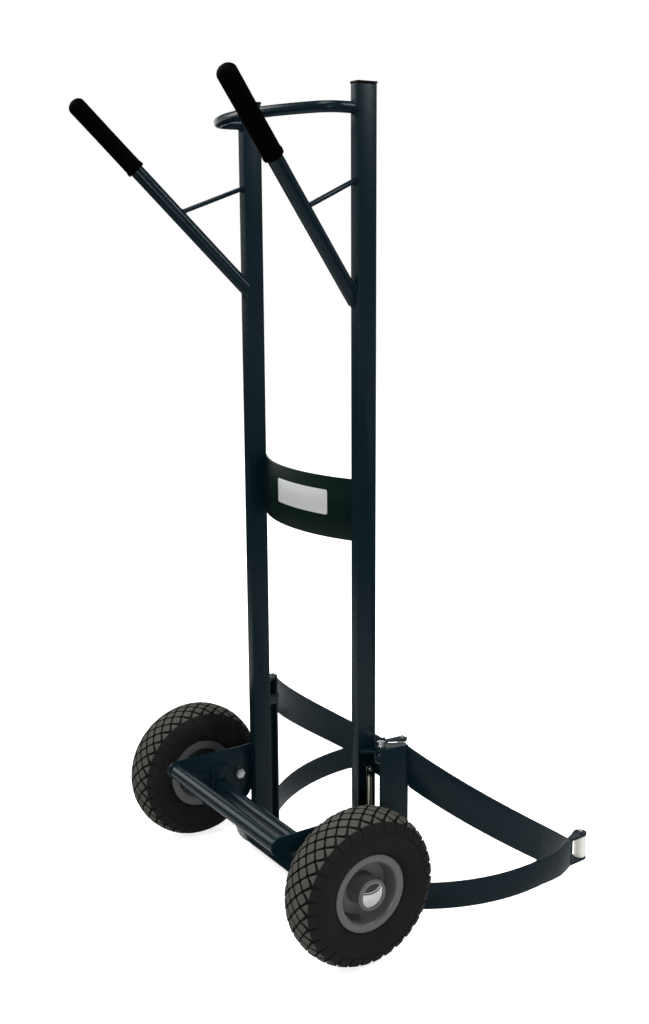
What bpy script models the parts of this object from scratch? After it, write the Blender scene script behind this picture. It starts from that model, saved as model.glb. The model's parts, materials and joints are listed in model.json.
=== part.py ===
"""Tyre trolley: a tube frame on two wheels, with two sprung swing arms that reach round a stack of tyres.

Metres. +X is the user's right, +Y points forward to the load and +Z points up. The sizes below are laid out
from the middle of the axle on the floor. The frame is moved at the end, so that the origin lies on the floor
in the middle of the trolley's box.
"""

import math

import bmesh
import bpy
from mathutils import Matrix, Vector

# Clearances and mesh settings
GAP = 0.0003
OVERRUN = 0.010
MERGE = 0.000001
ROUND_STEPS = 18
WHEEL_STEPS = 32
TREAD_BLOCKS = 32
SMOOTH_ANGLE = math.radians(35)

# Uprights, rectangular tube
UPRIGHT_SPACING = 0.323
UPRIGHT_WIDTH = 0.020
UPRIGHT_DEPTH = 0.035
UPRIGHT_WALL = 0.002
UPRIGHT_REAR_Y = 0.068
UPRIGHT_TOP_Z = 1.370
CAP_THICKNESS = 0.004
CAP_OVERHANG = 0.0008
CAP_PLUG_LENGTH = 0.015
CAP_EDGE = 0.001

# Top bow, bent round tube
BOW_RADIUS = 0.009
BOW_WALL = 0.0015
BOW_DROP = 0.0345
BOW_REACH = 0.086
BOW_BACK_RADIUS = 0.374
BOW_CORNER_RADIUS = 0.035

# Mid band, rolled strip
BAND_LOW_Z = 0.657
BAND_HEIGHT = 0.103
BAND_THICKNESS = 0.004
BAND_FRONT_RADIUS = 0.330
BAND_END_SETBACK = 0.03147

# Push handles, their grips and their stays
HANDLE_RADIUS = 0.0121
HANDLE_WALL = 0.002
HANDLE_BASE_DROP = 0.3118
HANDLE_BASE_INSET = 0.0086
HANDLE_LENGTH = 0.4131
HANDLE_SPLAY = math.radians(19.3)
HANDLE_RISE = math.radians(47.2)
GRIP_START = 0.272
GRIP_RADIUS = 0.0152
GRIP_LIP_RADIUS = 0.0162
GRIP_LIP_LENGTH = 0.005
GRIP_DOME = 0.012
GRIP_END_WALL = 0.0105
STAY_RADIUS = 0.004
STAY_TOP_DROP = 0.141
STAY_HANDLE_SHARE = 0.4223
STAY_SINK = 0.008

# Wheels
WHEEL_RADIUS = 0.130
TYRE_HALF_WIDTH = 0.0425
WHEEL_STANDOFF = 0.053
RIM_RADIUS = 0.065
RIM_HALF_WIDTH = 0.0316
RIM_RING_WIDTH = 0.014
RIM_LIP_THICKNESS = 0.0036
RIM_SEAT_RADIUS = 0.055
RIM_WALL = 0.006
RIM_DISC_THICKNESS = 0.006
RIM_DRAFT = 0.002
RIM_RIB_COUNT = 4
RIM_RIB_THICKNESS = 0.004
RIM_RIB_SHARE = 0.55
HUB_RADIUS = 0.0225
HUB_OUTER_LENGTH = 0.0367
HUB_INNER_LENGTH = 0.0356
BUSH_WALL = 0.0025
CARCASS_CROWN = 0.010
CARCASS_SIDE = 0.007
BEAD_WIDTH = 0.007

# Half of the tyre's outer line, from the rim's lip to the crown: shares of the section height and of the half width
TYRE_OUTER_SHARES = (
    (0.04, 0.80),
    (0.20, 0.94),
    (0.42, 1.00),
    (0.66, 0.95),
    (0.85, 0.78),
    (0.935, 0.53),
    (0.985, 0.265),
    (1.00, 0.00),
)

# Half of the carcass's inner line in the same way
TYRE_INNER_SHARES = ((0.42, 1.00), (0.85, 0.78))

# Diamond tread, in rows of blocks across the crown
TREAD_ROWS = 7
TREAD_DEPTH = 0.003

# Axle, its tube, its spacers and its end caps
AXLE_RADIUS = 0.009
AXLE_END_LENGTH = 0.0035
AXLE_TUBE_RADIUS = 0.0115
AXLE_TUBE_WALL = 0.0021
SPACER_RADIUS = 0.0135
SPACER_COLLAR_RADIUS = 0.019
SPACER_COLLAR_LENGTH = 0.004
AXLE_CAP_RADIUS = 0.0185
AXLE_CAP_SKIRT = 0.002
AXLE_CAP_DOME = 0.0055
AXLE_CAP_CROWN = 0.0015

# Side plates that carry the axle and the foot bar
SIDE_PLATE_THICKNESS = 0.004
SIDE_PLATE_TOP_Z = 0.198
SIDE_PLATE_LAP = 0.014
SIDE_PLATE_ARM_LENGTH = 0.037
SIDE_PLATE_LOBE_RADIUS = 0.045
SIDE_PLATE_CORNER_Y = 0.038
SIDE_PLATE_CORNER_RADIUS = 0.033
FOOT_BAR_RADIUS = 0.013
FOOT_BAR_WALL = 0.002
FOOT_BAR_Y = -0.090
FOOT_BAR_EDGE = 0.016
FOOT_BAR_DROP = 0.0177
KEEPER_HALF_WIDTH = 0.018
KEEPER_LOW = 0.004
KEEPER_HIGH = 0.041
KEEPER_THICKNESS = 0.004
PLATE_BOLT_Y = 0.043
PLATE_BOLT_Z = 0.145
PLATE_BOLT_RADIUS = 0.006
PLATE_BOLT_HEAD = 0.0098
PLATE_BOLT_HEAD_HEIGHT = 0.0075
PLATE_BOLT_TAIL = 0.006

# Feet, folded from plate, and the angle brace between them
FOOT_PLATE_THICKNESS = 0.004
FOOT_PLATE_HEIGHT = 0.050
FOOT_PLATE_REAR = 0.047
FOOT_PLATE_CORNER = 0.060
FOOT_BASE_THICKNESS = 0.005
FOOT_BASE_AHEAD = 0.029
FOOT_BASE_BEHIND = 0.033
FOOT_BASE_CORNER = 0.012
FOOT_FOLD_RADIUS = 0.003
FOOT_EAR_MARGIN = 0.014
BRACE_LEG = 0.030
BRACE_THICKNESS = 0.004
BRACE_LOW_Z = 0.011
BRACE_BEHIND = 0.022

# Swing hinge of each arm
HINGE_REACH = 0.0155
HINGE_BOLT_RADIUS = 0.004
HINGE_HEAD_RADIUS = 0.0075
HINGE_HEAD_HEIGHT = 0.0065
HINGE_WASHER_RADIUS = 0.0085
HINGE_WASHER_HEIGHT = 0.0016
HINGE_NUT_HEIGHT = 0.0065
HINGE_BOLT_TAIL = 0.002
EAR_THICKNESS = 0.005
EAR_RADIUS = 0.011
EAR_BACK = 0.004

# Arm post, folded channel with a flange at each end
POST_TOP_Z = 0.315
POST_THICKNESS = 0.004
POST_BEHIND = 0.012
POST_AHEAD = 0.0415
POST_REAR_OUT = 0.017
POST_FRONT_OUT = 0.021
POST_LIP = 0.015
POST_FLANGE_EDGE = 0.008
POST_FLANGE_CHAMFER = 0.004
POST_FLANGE_BEND_SHARE = 0.36

# Swing stop on each upright
STOP_THICKNESS = 0.004
STOP_LOW_Z = 0.260
STOP_HEIGHT = 0.020
STOP_REACH = 0.0165

# Arm straps, cut flat and then rolled round one circle
STRAP_THICKNESS = 0.005
STRAP_CENTRE_AHEAD = 0.2095
STRAP_CORNER_INSET = 0.0023
STRAP_END_ANGLE = math.radians(21)
STRAP_ROLL_STEP = 0.015
UPPER_STRAP_HEIGHT = 0.0705
UPPER_STRAP_TOP_DROP = 0.0035
UPPER_STRAP_SLOPE = 0.674
LOWER_STRAP_LOW_Z = 0.0155
LOWER_STRAP_HEIGHT = 0.0475
LOWER_STRAP_SLOPE = 0.052
STRAP_JOINT_LENGTH = 0.055
STRAP_JOINT_RISE = 0.005
STRAP_HEEL_LENGTH = 0.034
STRAP_HEEL_DROP = 0.005

# Tip bracket with its nylon roller
TIP_THICKNESS = 0.004
TIP_PIN_AHEAD = 0.038
TIP_PIN_OUT = 0.002
TIP_EAR_RADIUS = 0.012
TIP_WEB_INSIDE = 0.006
TIP_PIN_RADIUS = 0.0042
TIP_PIN_HEAD = 0.003
TIP_PIN_DOME = 0.0038
TIP_PIN_TAIL = 0.001
TIP_ROLLER_RADIUS = 0.0105
TIP_ROLLER_EDGE = 0.001

# Return springs, close wound, in the open channel of each upright
WIRE_RADIUS = 0.001
COIL_RADIUS = 0.005
COIL_CURLS = 20
COIL_PITCH = 0.00344
CURL_POINTS = 8
SPRING_CLEAR = 0.0009
HOOK_RISE = 0.014
HOOK_RADIUS = 0.0051
HOOK_OFFSET = 0.0012
HOOK_POINTS = 10
HOOK_SWEEP = math.radians(255)
ANCHOR_Z = 0.271
ANCHOR_RADIUS = 0.0025
ANCHOR_HEAD_RADIUS = 0.0045
ANCHOR_HEAD_LENGTH = 0.004
LUG_CLEAR = 0.004
LUG_PAST_SPRING = 0.004

# Places that follow from the sizes above
UPRIGHT_IN = UPRIGHT_SPACING / 2
UPRIGHT_OUT = UPRIGHT_IN + UPRIGHT_WIDTH
UPRIGHT_MID = UPRIGHT_IN + UPRIGHT_WIDTH / 2
UPRIGHT_FRONT_Y = UPRIGHT_REAR_Y + UPRIGHT_DEPTH
BOW_Z = UPRIGHT_TOP_Z - BOW_DROP
HANDLE_BASE_Z = UPRIGHT_TOP_Z - HANDLE_BASE_DROP
STAY_TOP_Z = UPRIGHT_TOP_Z - STAY_TOP_DROP
HINGE_X = UPRIGHT_OUT + HINGE_REACH
HINGE_Y = UPRIGHT_FRONT_Y
POST_LOW_Z = FOOT_BASE_THICKNESS + GAP
POST_REAR_Y = HINGE_Y - POST_BEHIND
POST_FRONT_Y = HINGE_Y + POST_AHEAD
POST_REAR_X = HINGE_X + POST_REAR_OUT
POST_FRONT_X = HINGE_X + POST_FRONT_OUT
LIP_IN_X = POST_FRONT_X - POST_LIP
EAR_TOP_Z = POST_TOP_Z - POST_THICKNESS - GAP
EAR_LOW_Z = EAR_TOP_Z - EAR_THICKNESS
PLATE_IN_X = UPRIGHT_OUT + GAP
PLATE_OUT_X = PLATE_IN_X + SIDE_PLATE_THICKNESS
WHEEL_X = PLATE_OUT_X + WHEEL_STANDOFF + TYRE_HALF_WIDTH
STRAP_CENTRE_Y = POST_FRONT_Y + STRAP_CENTRE_AHEAD
STRAP_INNER_RADIUS = math.hypot(POST_FRONT_X - STRAP_CORNER_INSET, STRAP_CENTRE_AHEAD)
STRAP_MID_RADIUS = STRAP_INNER_RADIUS + STRAP_THICKNESS / 2
STRAP_START_ANGLE = -math.asin((STRAP_CENTRE_AHEAD - GAP) / STRAP_MID_RADIUS)
COIL_OUTER_RADIUS = COIL_RADIUS + WIRE_RADIUS
SPRING_X = UPRIGHT_OUT - COIL_OUTER_RADIUS
SPRING_Y = UPRIGHT_FRONT_Y - UPRIGHT_WALL - SPRING_CLEAR - COIL_OUTER_RADIUS
COIL_TOP_Z = ANCHOR_Z - HOOK_RISE
COIL_LOW_Z = COIL_TOP_Z - COIL_CURLS * COIL_PITCH
LUG_Z = COIL_LOW_Z - HOOK_RISE
SIDES = (("left", -1), ("right", 1))

# Colour, roughness and metallic value of each finish
FINISHES = {
    "frame_paint": ((0.020, 0.045, 0.050, 1.0), 0.42, 0.0),
    "band_paint": ((0.010, 0.026, 0.022, 1.0), 0.40, 0.0),
    "zinc": ((0.62, 0.63, 0.62, 1.0), 0.32, 1.0),
    "yellow_zinc": ((0.62, 0.52, 0.24, 1.0), 0.35, 1.0),
    "chrome": ((0.80, 0.80, 0.80, 1.0), 0.10, 1.0),
    "spring_steel": ((0.70, 0.70, 0.64, 1.0), 0.30, 1.0),
    "axle_steel": ((0.45, 0.45, 0.45, 1.0), 0.35, 1.0),
    "tyre_rubber": ((0.020, 0.020, 0.021, 1.0), 0.75, 0.0),
    "rim_plastic": ((0.13, 0.135, 0.14, 1.0), 0.45, 0.0),
    "bush_plastic": ((0.50, 0.50, 0.47, 1.0), 0.50, 0.0),
    "grip_foam": ((0.010, 0.010, 0.011, 1.0), 0.85, 0.0),
    "cap_plastic": ((0.012, 0.012, 0.013, 1.0), 0.50, 0.0),
    "roller_nylon": ((0.80, 0.80, 0.74, 1.0), 0.45, 0.0),
}


def clear_scene():
    for obj in list(bpy.data.objects):
        bpy.data.objects.remove(obj, do_unlink=True)


def material_for(name, finish):
    colour, roughness, metallic = FINISHES[finish]
    material = bpy.data.materials.new(f"{name}_{finish}")
    material.use_nodes = True
    shader = material.node_tree.nodes["Principled BSDF"]
    shader.inputs["Base Color"].default_value = colour
    shader.inputs["Roughness"].default_value = roughness
    shader.inputs["Metallic"].default_value = metallic
    material.diffuse_color = colour
    return material


def pivot(name, place, parent=None):
    """An empty that carries the pieces of one body, on that body's axis."""
    empty = bpy.data.objects.new(name, None)
    bpy.context.scene.collection.objects.link(empty)
    empty["place"] = tuple(place)
    empty.location = place
    if parent:
        empty.parent = parent
        empty.location = Vector(place) - Vector(parent["place"])
    return empty


def solid(name, bm, finish, parent, origin=None, side=1, smooth=False):
    """Turns a bmesh into a named object under its parent, mirrored for the left side."""
    if side < 0:
        bmesh.ops.scale(bm, vec=(-1, 1, 1), verts=bm.verts)
        bmesh.ops.reverse_faces(bm, faces=bm.faces)
    start = Vector(origin or parent["place"])
    if origin and side < 0:
        start.x = -start.x
    bmesh.ops.translate(bm, vec=-start, verts=bm.verts)
    mesh = bpy.data.meshes.new(name)
    bm.to_mesh(mesh)
    bm.free()
    if smooth:
        mesh.shade_smooth()
        mesh.set_sharp_from_angle(angle=SMOOTH_ANGLE)
    obj = bpy.data.objects.new(name, mesh)
    bpy.context.scene.collection.objects.link(obj)
    obj.parent = parent
    obj.location = start - Vector(parent["place"])
    if finish:
        mesh.materials.append(material_for(name, finish))
    return obj


def shaped(target, bm, operation, side=1):
    """A Boolean with a guide shape, which is left out of the model."""
    parent = target.parent
    name = f"{target.name}_{operation.lower()}_{len(target.modifiers)}"
    guide = solid(name, bm, None, parent, side=side)
    guide.hide_render = True
    guide.display_type = "WIRE"
    modifier = target.modifiers.new(name, "BOOLEAN")
    modifier.operation = operation
    modifier.solver = "EXACT"
    modifier.object = guide
    return target


def arc(centre, radius, start, end, steps):
    """Points of a circular arc between two angles in degrees."""
    points = []
    for step in range(steps + 1):
        angle = math.radians(start + (end - start) * step / steps)
        points.append((centre[0] + radius * math.cos(angle), centre[1] + radius * math.sin(angle)))
    return points


PLANES = {
    "xy": lambda a, b, depth: (a, b, depth),
    "yz": lambda a, b, depth: (depth, a, b),
    "xz": lambda a, b, depth: (a, depth, b),
}


def face_out(bm):
    """Turns a closed shape's faces outward."""
    bmesh.ops.recalc_face_normals(bm, faces=bm.faces)
    if bm.calc_volume(signed=True) < 0:
        bmesh.ops.reverse_faces(bm, faces=bm.faces)


def prism(outline, low, high, plane="xy"):
    """A flat outline given its thickness, from low to high, square to its plane."""
    bm = bmesh.new()
    spot = PLANES[plane]
    face = bm.faces.new([bm.verts.new(spot(a, b, low)) for a, b in outline])
    grown = bmesh.ops.extrude_face_region(bm, geom=[face])["geom"]
    top = [part for part in grown if isinstance(part, bmesh.types.BMVert)]
    bmesh.ops.translate(bm, vec=spot(0, 0, high - low), verts=top)
    face_out(bm)
    return bm


def block(low, high):
    """A box between two corners."""
    outline = [(low[0], low[1]), (high[0], low[1]), (high[0], high[1]), (low[0], high[1])]
    return prism(outline, low[2], high[2])


def turned(profile, steps, frame=None):
    """A profile of (radius, height) points spun round Z, then placed by a matrix.

    A profile that starts and ends on the axis stays open, and any other is closed.
    """
    bm = bmesh.new()
    verts = [bm.verts.new((radius, 0, height)) for radius, height in profile]
    pairs = list(zip(verts, verts[1:]))
    if profile[0][0] > 0:
        pairs.append((verts[-1], verts[0]))
    edges = [bm.edges.new(pair) for pair in pairs]
    turn = math.tau
    bmesh.ops.spin(
        bm, geom=verts + edges, cent=(0, 0, 0), axis=(0, 0, 1), angle=turn, steps=steps, use_merge=True
    )
    bmesh.ops.remove_doubles(bm, verts=bm.verts, dist=MERGE)
    face_out(bm)
    if frame:
        bmesh.ops.transform(bm, matrix=frame, verts=bm.verts)
    return bm


def along_x(place):
    """Turns a Z axis to +X and moves it to a place."""
    return Matrix.Translation(place) @ Matrix.Rotation(math.pi / 2, 4, "Y")


def along(place, direction):
    """Turns a Z axis to a direction and moves it to a place."""
    return Matrix.Translation(place) @ direction.to_track_quat("Z", "Y").to_matrix().to_4x4()


def tube_profile(outer, inner, low, high):
    return [(outer, high), (outer, low), (inner, low), (inner, high)]


def rod_profile(radius, low, high):
    return [(0, high), (radius, high), (radius, low), (0, low)]


def hexagon(radius, centre):
    """A regular hexagon by the radius to its corners."""
    return arc(centre, radius, 0, 300, 5)


def ring_face(bm, outer, inner, steps, frame):
    """The flat ring that a bent tube starts from."""
    edges = []
    for radius in (outer, inner):
        circle = bmesh.ops.create_circle(bm, cap_ends=False, radius=radius, segments=steps, matrix=frame)
        verts = set(circle["verts"])
        edges += [edge for edge in bm.edges if set(edge.verts) <= verts]
    return bmesh.ops.bridge_loops(bm, edges=edges)["faces"]


def run_straight(bm, faces, step, first=False):
    """Draws the tube's end face out along a straight."""
    grown = bmesh.ops.extrude_face_region(bm, geom=faces)["geom"]
    verts = [part for part in grown if isinstance(part, bmesh.types.BMVert)]
    bmesh.ops.translate(bm, vec=step, verts=verts)
    if not first:
        bmesh.ops.delete(bm, geom=faces, context="FACES_ONLY")
    return [part for part in grown if isinstance(part, bmesh.types.BMFace)]


def run_bend(bm, faces, centre, angle, steps):
    """Draws the tube's end face round a bend in the XY plane."""
    bent = bmesh.ops.spin(bm, geom=faces, cent=centre, axis=(0, 0, 1), angle=angle, steps=steps)
    bmesh.ops.delete(bm, geom=faces, context="FACES_ONLY")
    return [part for part in bent["geom_last"] if isinstance(part, bmesh.types.BMFace)]


def make_upright(frame, name, side):
    """A rectangular tube whose outer wall is cut away below the hinge, which leaves a channel for the spring."""
    low = FOOT_BASE_THICKNESS + GAP
    outer = block((UPRIGHT_IN, UPRIGHT_REAR_Y, low), (UPRIGHT_OUT, UPRIGHT_FRONT_Y, UPRIGHT_TOP_Z))
    upright = solid(f"upright_{name}", outer, "frame_paint", frame, side=side)
    bore = block(
        (UPRIGHT_IN + UPRIGHT_WALL, UPRIGHT_REAR_Y + UPRIGHT_WALL, low - OVERRUN),
        (UPRIGHT_OUT - UPRIGHT_WALL, UPRIGHT_FRONT_Y - UPRIGHT_WALL, UPRIGHT_TOP_Z + OVERRUN),
    )
    shaped(upright, bore, "DIFFERENCE", side)
    mouth = block(
        (UPRIGHT_MID, UPRIGHT_REAR_Y + UPRIGHT_WALL, low - OVERRUN),
        (UPRIGHT_OUT + OVERRUN, UPRIGHT_FRONT_Y - UPRIGHT_WALL, EAR_TOP_Z + GAP),
    )
    shaped(upright, mouth, "DIFFERENCE", side)
    reach = ANCHOR_RADIUS + LUG_CLEAR
    window = block(
        (UPRIGHT_IN + 2 * UPRIGHT_WALL, UPRIGHT_FRONT_Y - 2 * UPRIGHT_WALL, LUG_Z - reach),
        (UPRIGHT_OUT + OVERRUN, UPRIGHT_FRONT_Y + UPRIGHT_WALL, LUG_Z + reach),
    )
    shaped(upright, window, "DIFFERENCE", side)


def make_upright_cap(frame, name, side):
    """A plastic plug with a thin flange over the tube's end."""
    low = UPRIGHT_TOP_Z + GAP
    flange = block(
        (UPRIGHT_IN - CAP_OVERHANG, UPRIGHT_REAR_Y - CAP_OVERHANG, low),
        (UPRIGHT_OUT + CAP_OVERHANG, UPRIGHT_FRONT_Y + CAP_OVERHANG, low + CAP_THICKNESS),
    )
    edges = [edge for edge in flange.edges if all(vert.co.z > low for vert in edge.verts)]
    bmesh.ops.bevel(flange, geom=edges, offset=CAP_EDGE, segments=2, affect="EDGES", profile=0.5)
    cap = solid(f"upright_cap_{name}", flange, "cap_plastic", frame, side=side)
    inset = UPRIGHT_WALL + GAP
    plug = block(
        (UPRIGHT_IN + inset, UPRIGHT_REAR_Y + inset, UPRIGHT_TOP_Z - CAP_PLUG_LENGTH),
        (UPRIGHT_OUT - inset, UPRIGHT_FRONT_Y - inset, low + CAP_THICKNESS / 2),
    )
    shaped(cap, plug, "UNION", side)


def make_top_bow(frame):
    """A tube bent to a flat arch behind the uprights, square to their rear faces."""
    start_y = UPRIGHT_REAR_Y - GAP
    back_centre_y = UPRIGHT_REAR_Y - BOW_REACH + BOW_BACK_RADIUS
    corner_x = UPRIGHT_MID - BOW_CORNER_RADIUS
    run = math.sqrt((BOW_BACK_RADIUS - BOW_CORNER_RADIUS) ** 2 - corner_x**2)
    corner_y = back_centre_y - run
    turn = math.pi / 2 - math.asin(corner_x / (BOW_BACK_RADIUS - BOW_CORNER_RADIUS))
    sweep = 2 * (math.pi / 2 - turn)
    bm = bmesh.new()
    place = Matrix.Translation((UPRIGHT_MID, start_y, BOW_Z)) @ Matrix.Rotation(math.pi / 2, 4, "X")
    faces = ring_face(bm, BOW_RADIUS, BOW_RADIUS - BOW_WALL, ROUND_STEPS // 2, place)
    faces = run_straight(bm, faces, (0, corner_y - start_y, 0), first=True)
    faces = run_bend(bm, faces, (corner_x, corner_y, BOW_Z), -turn, 6)
    faces = run_bend(bm, faces, (0, back_centre_y, BOW_Z), -sweep, 12)
    faces = run_bend(bm, faces, (-corner_x, corner_y, BOW_Z), -turn, 6)
    run_straight(bm, faces, (0, start_y - corner_y, 0))
    face_out(bm)
    solid("top_bow", bm, "frame_paint", frame, smooth=True)


def make_mid_band(frame):
    """A wide strip rolled to the tyres' curve, between the uprights' inner faces."""
    rear_radius = BAND_FRONT_RADIUS + BAND_THICKNESS
    reach = UPRIGHT_IN - GAP
    centre = (0, UPRIGHT_REAR_Y + BAND_END_SETBACK + math.sqrt(rear_radius**2 - reach**2))
    outline = []
    for radius, way in ((rear_radius, 1), (BAND_FRONT_RADIUS, -1)):
        half = math.degrees(math.asin(reach / radius))
        outline += arc(centre, radius, -90 - way * half, -90 + way * half, 20)
    band = prism(outline, BAND_LOW_Z, BAND_LOW_Z + BAND_HEIGHT)
    solid("mid_band", band, "band_paint", frame, smooth=True)


def handle_line():
    """Where a handle's axis meets its upright, and the axis's direction."""
    base = Vector((UPRIGHT_MID - HANDLE_BASE_INSET, UPRIGHT_REAR_Y, HANDLE_BASE_Z))
    flat = math.cos(HANDLE_RISE)
    direction = Vector((flat * math.sin(HANDLE_SPLAY), -flat * math.cos(HANDLE_SPLAY), math.sin(HANDLE_RISE)))
    return base, direction


def make_handle(frame, name, side):
    """The slanted push tube, cut flat against its upright, with its grip and its stay."""
    base, direction = handle_line()
    place = along(base, direction)
    root = -3 * HANDLE_RADIUS
    profile = tube_profile(HANDLE_RADIUS, HANDLE_RADIUS - HANDLE_WALL, root, HANDLE_LENGTH)
    tube = turned(profile, ROUND_STEPS, place)
    handle = solid(f"handle_tube_{name}", tube, "frame_paint", frame, side=side, smooth=True)
    behind = block(
        (0, UPRIGHT_REAR_Y - GAP, HANDLE_BASE_Z - HANDLE_LENGTH),
        (UPRIGHT_SPACING, UPRIGHT_REAR_Y + HANDLE_LENGTH, HANDLE_BASE_Z + HANDLE_LENGTH),
    )
    shaped(handle, behind, "DIFFERENCE", side)

    bore = HANDLE_RADIUS + GAP
    shoulder = HANDLE_LENGTH + GAP + GRIP_END_WALL - GRIP_DOME
    dome = [
        (GRIP_RADIUS * math.cos(angle), shoulder + GRIP_DOME * math.sin(angle))
        for angle in (math.radians(step) for step in (0, 22, 44, 66))
    ]
    profile = [
        (0, shoulder + GRIP_DOME),
        *reversed(dome),
        (GRIP_RADIUS, GRIP_START + 2 * GRIP_LIP_LENGTH),
        (GRIP_LIP_RADIUS, GRIP_START + GRIP_LIP_LENGTH),
        (GRIP_LIP_RADIUS, GRIP_START),
        (bore, GRIP_START),
        (bore, HANDLE_LENGTH + GAP),
        (0, HANDLE_LENGTH + GAP),
    ]
    grip = turned(profile, ROUND_STEPS, place)
    solid(f"handle_grip_{name}", grip, "grip_foam", frame, side=side, smooth=True)

    start = Vector((UPRIGHT_MID, UPRIGHT_REAR_Y, STAY_TOP_Z))
    end = base + direction * HANDLE_LENGTH * STAY_HANDLE_SHARE
    way = (end - start).normalized()
    length = (end - start).length
    rod = turned(rod_profile(STAY_RADIUS, -STAY_SINK, length), ROUND_STEPS // 2, along(start, way))
    stay = solid(f"handle_stay_{name}", rod, "frame_paint", frame, side=side, smooth=True)
    wall = block(
        (0, UPRIGHT_REAR_Y - GAP, HANDLE_BASE_Z),
        (UPRIGHT_SPACING, UPRIGHT_REAR_Y + HANDLE_LENGTH, HANDLE_BASE_Z + HANDLE_LENGTH),
    )
    shaped(stay, wall, "DIFFERENCE", side)
    seat = turned(rod_profile(HANDLE_RADIUS + GAP, 0, HANDLE_LENGTH), ROUND_STEPS, place)
    shaped(stay, seat, "DIFFERENCE", side)


def side_plate_outline():
    """The plate's outline in Y and Z: an arm to the foot bar, a lobe round the axle and a lap on the upright."""
    bar_z = SIDE_PLATE_TOP_Z - FOOT_BAR_EDGE
    lap_y = UPRIGHT_REAR_Y + SIDE_PLATE_LAP
    corner = (SIDE_PLATE_CORNER_Y, WHEEL_RADIUS - SIDE_PLATE_LOBE_RADIUS + SIDE_PLATE_CORNER_RADIUS)
    arm_end = FOOT_BAR_Y + SIDE_PLATE_ARM_LENGTH
    outline = arc((FOOT_BAR_Y, bar_z), FOOT_BAR_EDGE, 90, 270, 8)
    outline.append((arm_end, bar_z - FOOT_BAR_EDGE))
    outline += arc((0, WHEEL_RADIUS), SIDE_PLATE_LOBE_RADIUS, 190, 270, 6)
    outline += arc(corner, SIDE_PLATE_CORNER_RADIUS, 270, 335, 6)
    outline.append((lap_y, corner[1]))
    outline.append((lap_y, SIDE_PLATE_TOP_Z))
    return outline


def make_side_plate(frame, name, side):
    plate = prism(side_plate_outline(), PLATE_IN_X, PLATE_OUT_X, "yz")
    plate = solid(f"side_plate_{name}", plate, "frame_paint", frame, side=side)
    low = PLATE_IN_X - OVERRUN
    high = PLATE_OUT_X + OVERRUN
    bores = (
        (AXLE_RADIUS + GAP, 0, WHEEL_RADIUS),
        (PLATE_BOLT_RADIUS + GAP, PLATE_BOLT_Y, PLATE_BOLT_Z),
    )
    for radius, y, z in bores:
        bore = turned(rod_profile(radius, low, high), ROUND_STEPS, along_x((0, y, z)))
        shaped(plate, bore, "DIFFERENCE", side)


def make_keeper(frame, name, side):
    """The small plate that sits on the axle tube and holds it to its side plate."""
    low = WHEEL_RADIUS + KEEPER_LOW
    high = WHEEL_RADIUS + KEEPER_HIGH
    outer = UPRIGHT_OUT
    plate = block((outer - KEEPER_THICKNESS, -KEEPER_HALF_WIDTH, low), (outer, KEEPER_HALF_WIDTH, high))
    keeper = solid(f"axle_keeper_{name}", plate, "frame_paint", frame, side=side)
    notch = turned(
        rod_profile(AXLE_TUBE_RADIUS + GAP, 0, outer + OVERRUN), ROUND_STEPS, along_x((0, 0, WHEEL_RADIUS))
    )
    shaped(keeper, notch, "DIFFERENCE", side)


def make_plate_bolt(frame, name, side):
    """The large bolt through the side plate, with its head inside."""
    centre = (PLATE_BOLT_Y, PLATE_BOLT_Z)
    outer = PLATE_IN_X - GAP
    head = prism(hexagon(PLATE_BOLT_HEAD, centre), outer - PLATE_BOLT_HEAD_HEIGHT, outer, "yz")
    bolt = solid(f"plate_bolt_{name}", head, "zinc", frame, side=side)
    low = outer - PLATE_BOLT_HEAD_HEIGHT / 2
    high = PLATE_OUT_X + PLATE_BOLT_TAIL
    shank = turned(rod_profile(PLATE_BOLT_RADIUS, low, high), ROUND_STEPS // 2, along_x((0, *centre)))
    shaped(bolt, shank, "UNION", side)


def make_cross_tubes(frame):
    """The foot bar and the axle's tube, between the side plates."""
    half = UPRIGHT_OUT
    bar_z = SIDE_PLATE_TOP_Z - FOOT_BAR_DROP
    bar = tube_profile(FOOT_BAR_RADIUS, FOOT_BAR_RADIUS - FOOT_BAR_WALL, -half, half)
    bar = turned(bar, ROUND_STEPS, along_x((0, FOOT_BAR_Y, bar_z)))
    solid("foot_bar", bar, "frame_paint", frame, smooth=True)
    tube = tube_profile(AXLE_TUBE_RADIUS, AXLE_TUBE_RADIUS - AXLE_TUBE_WALL, -half, half)
    tube = turned(tube, ROUND_STEPS, along_x((0, 0, WHEEL_RADIUS)))
    solid("axle_tube", tube, "frame_paint", frame, smooth=True)


def hub_end_x():
    """How far out a wheel's hub ends."""
    return WHEEL_X + HUB_OUTER_LENGTH


def make_axle(frame):
    """The axle runs through its tube and both wheels into the end caps."""
    half = hub_end_x() + AXLE_END_LENGTH
    rod = turned(rod_profile(AXLE_RADIUS, -half, half), ROUND_STEPS, along_x((0, 0, WHEEL_RADIUS)))
    solid("axle", rod, "axle_steel", frame, smooth=True)


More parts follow.
